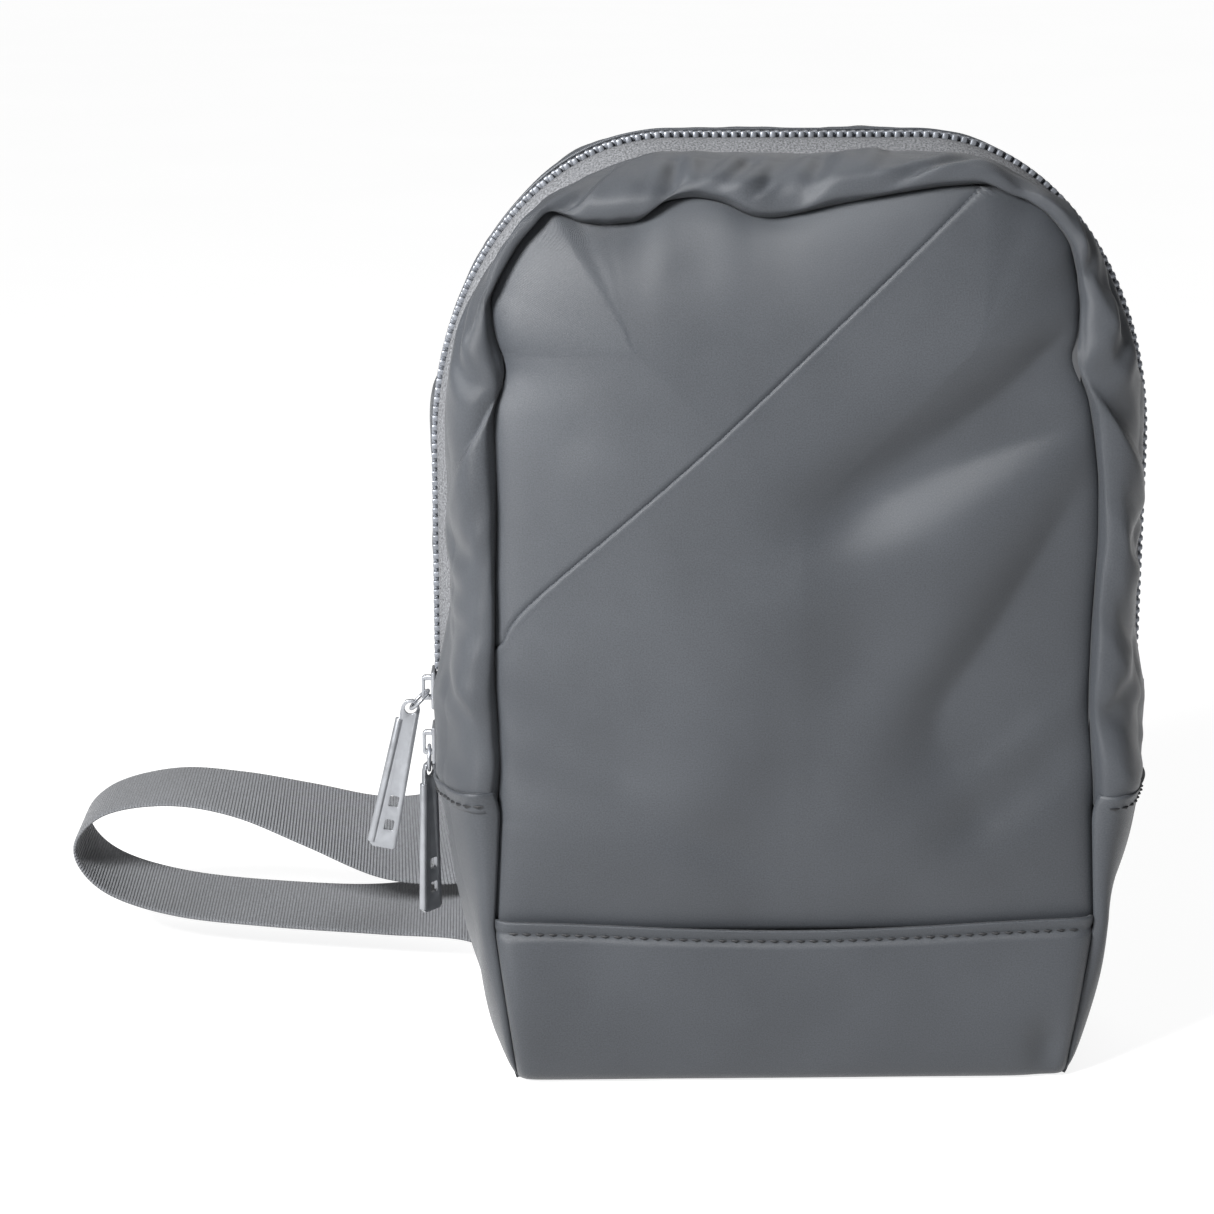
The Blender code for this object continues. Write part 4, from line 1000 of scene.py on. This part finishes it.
def strap_skin(route, widths, steps):
    """The rule of a flat strap along its middle line, its number of rows, and its length."""
    middles = smooth_through([place for place, _ in route], steps)
    sides = smooth_through([side for _, side in route], steps)
    sides = sides / np.linalg.norm(sides, axis=1)[:, None]
    wide = np.interp(np.linspace(0, 1, len(middles)), np.linspace(0, 1, len(widths)), widths)
    count = len(middles)
    length = float(run_along(middles)[-1])

    def rule(u, v):
        row = np.rint(v * (count - 1)).astype(int)
        return middles[row] + sides[row] * ((u - 0.5) * wide[row])[:, None]

    return rule, count - 1, length


def both_ways(obj, wall):
    """Give an open strap its thickness both ways, and round it."""
    thicken(obj, wall, 0.0)
    subdivide_once(obj)
    apply_all(obj)
    bpy.ops.object.shade_smooth()
    return obj


# %% Webbing
web_route = list(ROUTE) + at_lock(THREAD_PATH)
web_rule, web_rows, web_length = strap_skin(web_route, [WEBBING_WIDTH] * 2, 8)
webbing = both_ways(grid_skin(10, web_rows, web_rule, 0, (0, 0, 1)), WEBBING_WALL)
dress(webbing, "strap_webbing_woven", WEBBING, "root", ("strap_webbing",))
loop_rule, loop_rows, loop_length = strap_skin(at_lock(LOOP_PATH), [WEBBING_WIDTH] * 2, 6)
pad_loop = both_ways(grid_skin(10, loop_rows, loop_rule, 0, (0, 0, 1)), WEBBING_WALL)
dress(pad_loop, "strap_pad_loop_woven", WEBBING, "root", ("strap_pad_loop",))
print("webbing", round(web_length, 4), "m, pad loop", round(loop_length, 4), "m")

# %% Strap pad
PAD_ROUTE = ((0.040, 0.0330, 0.2808), (0.040, 0.0410, 0.2778), (0.039, 0.0485, 0.2708), (0.036, 0.0530, 0.2580),
             (0.025, 0.054, 0.2400), (0.000, 0.054, 0.1950), (-0.022, 0.055, 0.1550), (-0.031, 0.0555, 0.1385))
PAD_SIDES = ((1.0, 0.0, -0.08), (1.0, 0.0, -0.08), (1.0, 0.0, -0.12), (0.98, 0.0, -0.22), (0.93, 0.0, -0.36),
             (0.90, 0.0, -0.42), (0.90, 0.0, -0.42), (0.90, 0.0, -0.42))
PAD_WIDTHS = (0.050, 0.051, 0.052, 0.054, 0.056, 0.056, 0.054, 0.046)
PAD_WALL = 0.0042
pad_rule, pad_rows, _ = strap_skin(list(zip(PAD_ROUTE, PAD_SIDES)), PAD_WIDTHS, 8)
strap_pad = both_ways(grid_skin(22, pad_rows, pad_rule, 0, (0, 1, 0)), PAD_WALL)
dress(strap_pad, "strap_pad_skin", SHELL, "root", ("strap_pad",))

# %% [markdown]
# The webbing's end is sewn to the back under a small square patch. The patch is a plain square with its
# edges turned in, and its stitches run round it and from corner to corner.

# %% Anchor patch
PATCH_LOW, PATCH_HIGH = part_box("strap_anchor_patch")


def patch_rule(u, v):
    """The patch lies on the back, a little raised in its middle by the webbing's end."""
    x = PATCH_LOW[0] + (PATCH_HIGH[0] - PATCH_LOW[0]) * u
    z = PATCH_LOW[2] + (PATCH_HIGH[2] - PATCH_LOW[2]) * v
    edge = np.minimum(np.minimum(u, 1 - u), np.minimum(v, 1 - v))
    y = PATCH_HIGH[1] - 0.0006 * np.exp(-edge / 0.03) - 0.0002 * gauss(edge - 0.09, 0.02)
    return as_rows(x, y, z)


patch = grid_skin(48, 48, patch_rule, 0.0010, (0, 1, 0))
dress(patch, "strap_anchor_woven", WEBBING, "root", ("strap_anchor_patch",))

# %% [markdown]
# ## Back panel, base and linings
# The back rests on the wearer, so it is padded and sewn in channels. It isn't a flat plate: each channel
# crowns, and the seams between them dip. The base is a flat panel with turned edges. The linings are thin
# slack cloth, a size smaller than the shell.

# %% Back panel
CHANNELS = (0.085, 0.150, 0.215)
BACK_FOOT = 0.0006


def back_rule(u, v):
    """The back panel: crowned channels with sewn dips, flat where the strap's patch is."""
    x, z = face_place(u, v, BACK_FOOT)
    far, _ = arch_distance(x, z)
    far = np.minimum(far, np.minimum(z + 0.002, profile(FACE_PROFILE, z) - np.abs(x) + 0.0005))
    dips = sum(gauss(z - level - 0.25 * np.abs(x), 0.0030) for level in CHANNELS)
    crown = 0.0030 * risen(far, 0.014) * unit((z - 0.058) / 0.03)
    relief = crown - 0.0022 * dips - 0.0022 * np.exp(-far / 0.0035)
    strap_room = gauss(above(np.abs(z - 0.031) - 0.022), 0.006)
    relief = np.where(relief > 0.0, relief * (1.0 - strap_room), relief)
    return as_rows(x, BACK + relief - 0.0004, z)


back_panel = grid_skin(170, 250, back_rule, 0.0022, (0, 1, 0))
dress(back_panel, "back_panel_skin", SHELL, "root", ("back_panel",))

# %% Base
BASE_SEAM = 0.0022      # how far the base's edges stay inside the walls


def base_rule(u, v):
    """The base panel: flat on the floor, its edges turned up."""
    depth = FRONT + BASE_SEAM + (BACK - FRONT - 2 * BASE_SEAM) * v
    wide = BASE_WIDE + 0.006 * share_at(depth) - 0.0024
    edge = np.minimum(1 - np.abs(2 * u - 1), np.minimum(v, 1 - v) * 1.2)
    soft = waves(61, u, v, 5, 1, 4, 2.0) * 0.3 + 0.4
    rise = 0.0012 * np.exp(-edge / 0.02) + 0.0003 * risen(edge, 0.1) * soft
    return as_rows((2 * u - 1) * wide, depth, 0.0002 + rise)


base = grid_skin(120, 64, base_rule, 0.0016, (0, 0, -1))
dress(base, "base_panel_skin", SHELL, "root", ("base_panel",))

# %% Linings
LINING_GAP, LINING_CLOTH = 0.0056, 0.0006      # from the shell, and its own thickness
MOUTH = 0.0022                                 # depth at which both linings start beside the zip
LINING_FRONT, LINING_BACK = 0.0382, 0.0105     # depth in front, and the room left for the foam behind
LINING_FOOT, LINING_TOP = 0.0078, 0.0488       # heights of the lower lining


def lining_rule(sign, bottom, seed):
    """A lining: v runs from the zip's mouth back to the face, and on over the face to its middle."""
    def rule(u, v):
        deep = unit(v / 0.45)
        inward = unit((v - 0.45) / 0.55)
        depth = MOUTH + (BACK - LINING_BACK - MOUTH) * deep if sign > 0 else -MOUTH - (LINING_FRONT - MOUTH) * deep
        x, z = outline(u, share_at(depth), bottom)
        slack = LINING_GAP + 0.0010 + 0.0008 * waves(seed, u, v, 6, 5, 16, 3.0)
        x, drawn_in = pushed(x, z, -slack)
        z = np.where(z > bottom + 0.01, drawn_in, z)
        x = x * (1.0 - inward)
        z = z + (np.clip(z, bottom, 0.20) - z) * inward
        depth = depth - sign * 0.0012 * np.sin(inward * math.pi) * (1 + waves(seed + 3, u, v, 5, 1, 4, 2.0)) * 0.4
        return as_rows(x, depth, z)
    return rule


for lining_name, lining_sign, lining_bottom, lining_body in (
        ("front", -1, FOLD + 0.0006, "front_half"), ("rear", 1, 0.0082, "root")):
    one_lining = lining_rule(lining_sign, lining_bottom, 71 + lining_sign)
    lining = grid_skin(160, 40, one_lining, LINING_CLOTH, (0, -lining_sign, 0))
    dress(lining, lining_name + "_lining_skin", LINING, lining_body, (lining_name + "_lining",))


def lower_lining_rule(u, v):
    """The lining of the foot: round the front from one side to the other, v from the floor up."""
    side_run = unit(np.minimum(u, 1 - u) / 0.2)
    depth = 0.0010 - 0.0400 * side_run
    z = LINING_FOOT + (LINING_TOP - LINING_FOOT) * v
    share = share_at(depth)
    wide = half_width(z, share) - LINING_GAP
    across = unit((u - 0.2) / 0.6) * 2 - 1
    x = np.where((u > 0.2) & (u < 0.8), across * wide, np.sign(u - 0.5) * wide)
    return as_rows(x, depth + 0.0008 * np.sin(v * math.pi) * side_run, z)


lower_lining = grid_skin(120, 20, lower_lining_rule, LINING_CLOTH, (0, 1, 0))
dress(lower_lining, "lower_lining_skin", LINING, "root", ("lower_lining",))

# %% [markdown]
# ## Hidden layers
# The foam, the stiffener, the bindings and the pocket's bag are seen only if the bag is taken apart. Their
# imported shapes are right, so they keep them and get their own finish.

# %% Hidden layers
for hidden, finish in (("back_foam", FOAM), ("base_board", BOARD), ("base_lining", LINING), ("pocket_lining", LINING),
                       ("front_seam_binding", BINDING), ("rear_seam_binding", BINDING)):
    layer = frame["nodes"][hidden]
    layer.data.materials.clear()
    layer.data.materials.append(finish)
print("hidden layers finished")

# %% [markdown]
# ## Stitches
# Each stitch is a short thread that dives into the cloth at both ends. One is shaped and copied
# along a row. The rows are found on the cloth by the same rules that laid it, so they sit in its surface.

# %% Stitch rows
def made_stitch(length, radius):
    """One stitch along +X, thick in its middle and thin at its ends."""
    deselect()
    bpy.ops.mesh.primitive_cylinder_add(vertices=6, radius=radius, depth=length, rotation=(0.0, math.pi / 2, 0.0))
    stitch = bpy.context.object
    bpy.ops.object.transform_apply(location=False, rotation=True, scale=False)
    pick(stitch)
    bpy.ops.object.mode_set(mode="EDIT")
    bpy.ops.mesh.select_all(action="SELECT")
    bpy.ops.mesh.subdivide(number_cuts=1)
    bpy.ops.object.mode_set(mode="OBJECT")
    for vert in stitch.data.vertices:
        if abs(vert.co.x) > length * 0.45:
            vert.co.y, vert.co.z = vert.co.y * 0.45, vert.co.z * 0.45 - radius * 0.9
    return stitch


STITCH_LIFT = 0.0003


def stitch_row(name, rule, u, v, body="root", pitch=0.0040, length=0.0031, radius=0.00048, side=1.0):
    """Stitches at even steps along a line on a piece of cloth, given as places on it."""
    points = rule(u, v)
    beside = rule(u, np.clip(v + 0.002, 0, 1)) - rule(u, np.clip(v - 0.002, 0, 1))
    if np.ptp(u) < np.ptp(v):
        beside = rule(np.clip(u + 0.002, 0, 1), v) - rule(np.clip(u - 0.002, 0, 1), v)
    ahead = np.gradient(points, axis=0)
    up = np.cross(ahead, beside) * side
    up /= np.maximum(np.linalg.norm(up, axis=1), 1e-9)[:, None]
    run = run_along(points)

    def at(step, rows):
        """The row of a table at a distance along the line."""
        return np.array([np.interp(step, run, rows[:, axis]) for axis in range(3)])

    frames = []
    for step in np.arange(pitch, run[-1] - pitch / 2, pitch):
        origin, normal = at(step, points), at(step, up)
        along = at(step + 0.0005, points) - origin
        along /= max(np.linalg.norm(along), 1e-9)
        normal -= along * normal.dot(along)
        normal /= max(np.linalg.norm(normal), 1e-9)
        frames.append((origin + normal * STITCH_LIFT, along, np.cross(normal, along), normal))
    made = copied_along(made_stitch(length, radius), frames, name)
    return dress(made, name, THREAD_PAINTED_SHADE, body)


LINE = np.linspace(0.0, 1.0, 401)
stitch_row("band_stitches", band_rule, LINE * 0.98 + 0.01, np.full(401, 0.930))
for side_name, side_sign, side_seed in SIDES:
    stitch_row("hem_stitches_" + side_name, side_rule(side_sign, side_seed), LINE * 0.96 + 0.02, np.full(401, 0.957),
               "fold", side=side_sign)
for row_name, wall, facing, body in (("front", front_wall_rule, -1.0, "fold"), ("rear", rear_wall_rule, 1.0, "root")):
    stitch_row(row_name + "_zip_stitches", wall, LINE * 0.97 + 0.015, np.full(401, 0.955), body, pitch=0.0034,
               length=0.0026, radius=0.00024, side=facing)


def pad_face(u, v):
    """The outer face of the strap's pad."""
    return pad_rule(u, v) + np.array([0.0, PAD_WALL / 2, 0.0])


for edge_name, edge_u in (("left", 0.07), ("right", 0.93)):
    stitch_row("pad_stitches_" + edge_name, pad_face, np.full(401, edge_u), LINE, pitch=0.0036, side=-1.0)
RUN, NEAR, FAR = LINE * 0.84 + 0.08, LINE * 0 + 0.08, LINE * 0 + 0.92      # across the patch, and its two edges
PATCH_PATHS = {"low": (RUN, NEAR), "high": (RUN, FAR), "left": (NEAR, RUN), "right": (FAR, RUN),
               "rising": (RUN, RUN), "falling": (RUN, 0.92 - LINE * 0.84)}
for path_name, (path_u, path_v) in PATCH_PATHS.items():
    facing = -1.0 if np.ptp(path_u) > 0 else 1.0
    stitch_row("patch_stitches_" + path_name, patch_rule, path_u, path_v, pitch=0.0030, length=0.0023, side=facing)
for number, level in enumerate(CHANNELS):
    span = LINE * 0.92 + 0.04
    across = (2 * span - 1) * 0.088
    height = level + 0.25 * np.abs(across)
    up_back = (height - BACK_FOOT) / (FACE_TOP - BACK_FOOT)
    stitch_row("channel_stitches_" + str(number), back_rule, span, up_back, side=-1.0)

# %% [markdown]
# ## Stage and light
# The stage is a pale floor that runs on past the view, with a glow of its own, so that it stays white while
# little light bounces up from it. A key light stands up to the left in front, low enough to rake across the
# cloth, so that its folds and seams show. A broad one behind throws a soft shadow forwards. The sky is dim,
# which keeps the folds dark, but the camera sees it white.

# %% Stage
FLOOR_GLOW, SKY_LIGHT = 0.86, 0.12
WHITE = (1.0, 1.0, 1.0, 1.0)
deselect()
bpy.ops.mesh.primitive_plane_add(size=60.0, location=(0.0, 0.0, 0.0))
floor = bpy.context.object
floor.name = "floor"
floor_finish, floor_tree, floor_shader = new_finish("pale_floor")
floor_place = node(floor_tree, "TexCoord").outputs["Object"]
floor_cloud = node(floor_tree, "TexNoise", {"Scale": 3.0}, Vector=floor_place).outputs["Fac"]
floor_colour = ramp(floor_tree, floor_cloud, 0.3, 0.7, (0.30,) * 3, (0.32,) * 3)
floor_tree.links.new(floor_colour, floor_shader.inputs["Base Color"])
for socket_name, value in (("Roughness", 0.9), ("Emission Color", WHITE), ("Emission Strength", FLOOR_GLOW),
                           ("Specular IOR Level", 0.1)):
    floor_shader.inputs[socket_name].default_value = value
floor.data.materials.append(floor_finish)

# %% Lights
KEY_AIM = Vector((0.0, 0.0, 0.16))


def lamp(kind, name, place, energy, aim=Vector()):
    """A lamp at a place that shines on a point: a sun only takes its direction from the two."""
    deselect()
    bpy.ops.object.light_add(type=kind, location=place)
    made = bpy.context.object
    made.name = name
    made.data.energy = energy
    made.rotation_euler = (Vector(place) - aim).to_track_quat("Z", "Y").to_euler()
    return made


lamp("AREA", "key_light", (-0.54, -0.58, 0.64), 23.0, KEY_AIM).data.size = 0.25
lamp("SUN", "back_light", (0.25, 0.9, 1.3), 0.9).data.angle = math.radians(40.0)

# %% Sky
world = bpy.data.worlds.new("studio")
world.use_nodes = True
sky = world.node_tree
dim = sky.nodes["Background"]
dim.inputs["Color"].default_value = WHITE
dim.inputs["Strength"].default_value = SKY_LIGHT
backdrop = node(sky, "Background", {"Color": WHITE, "Strength": 1.0})
shown = node(sky, "MixShader", Fac=node(sky, "LightPath").outputs["Is Camera Ray"])
sky.links.new(dim.outputs["Background"], shown.inputs[1])
sky.links.new(backdrop.outputs["Background"], shown.inputs[2])
sky.links.new(shown.outputs["Shader"], sky.nodes["World Output"].inputs["Surface"])
bpy.context.scene.world = world
bpy.context.scene.view_settings.view_transform = "Standard"
print("stage, lights and sky set")
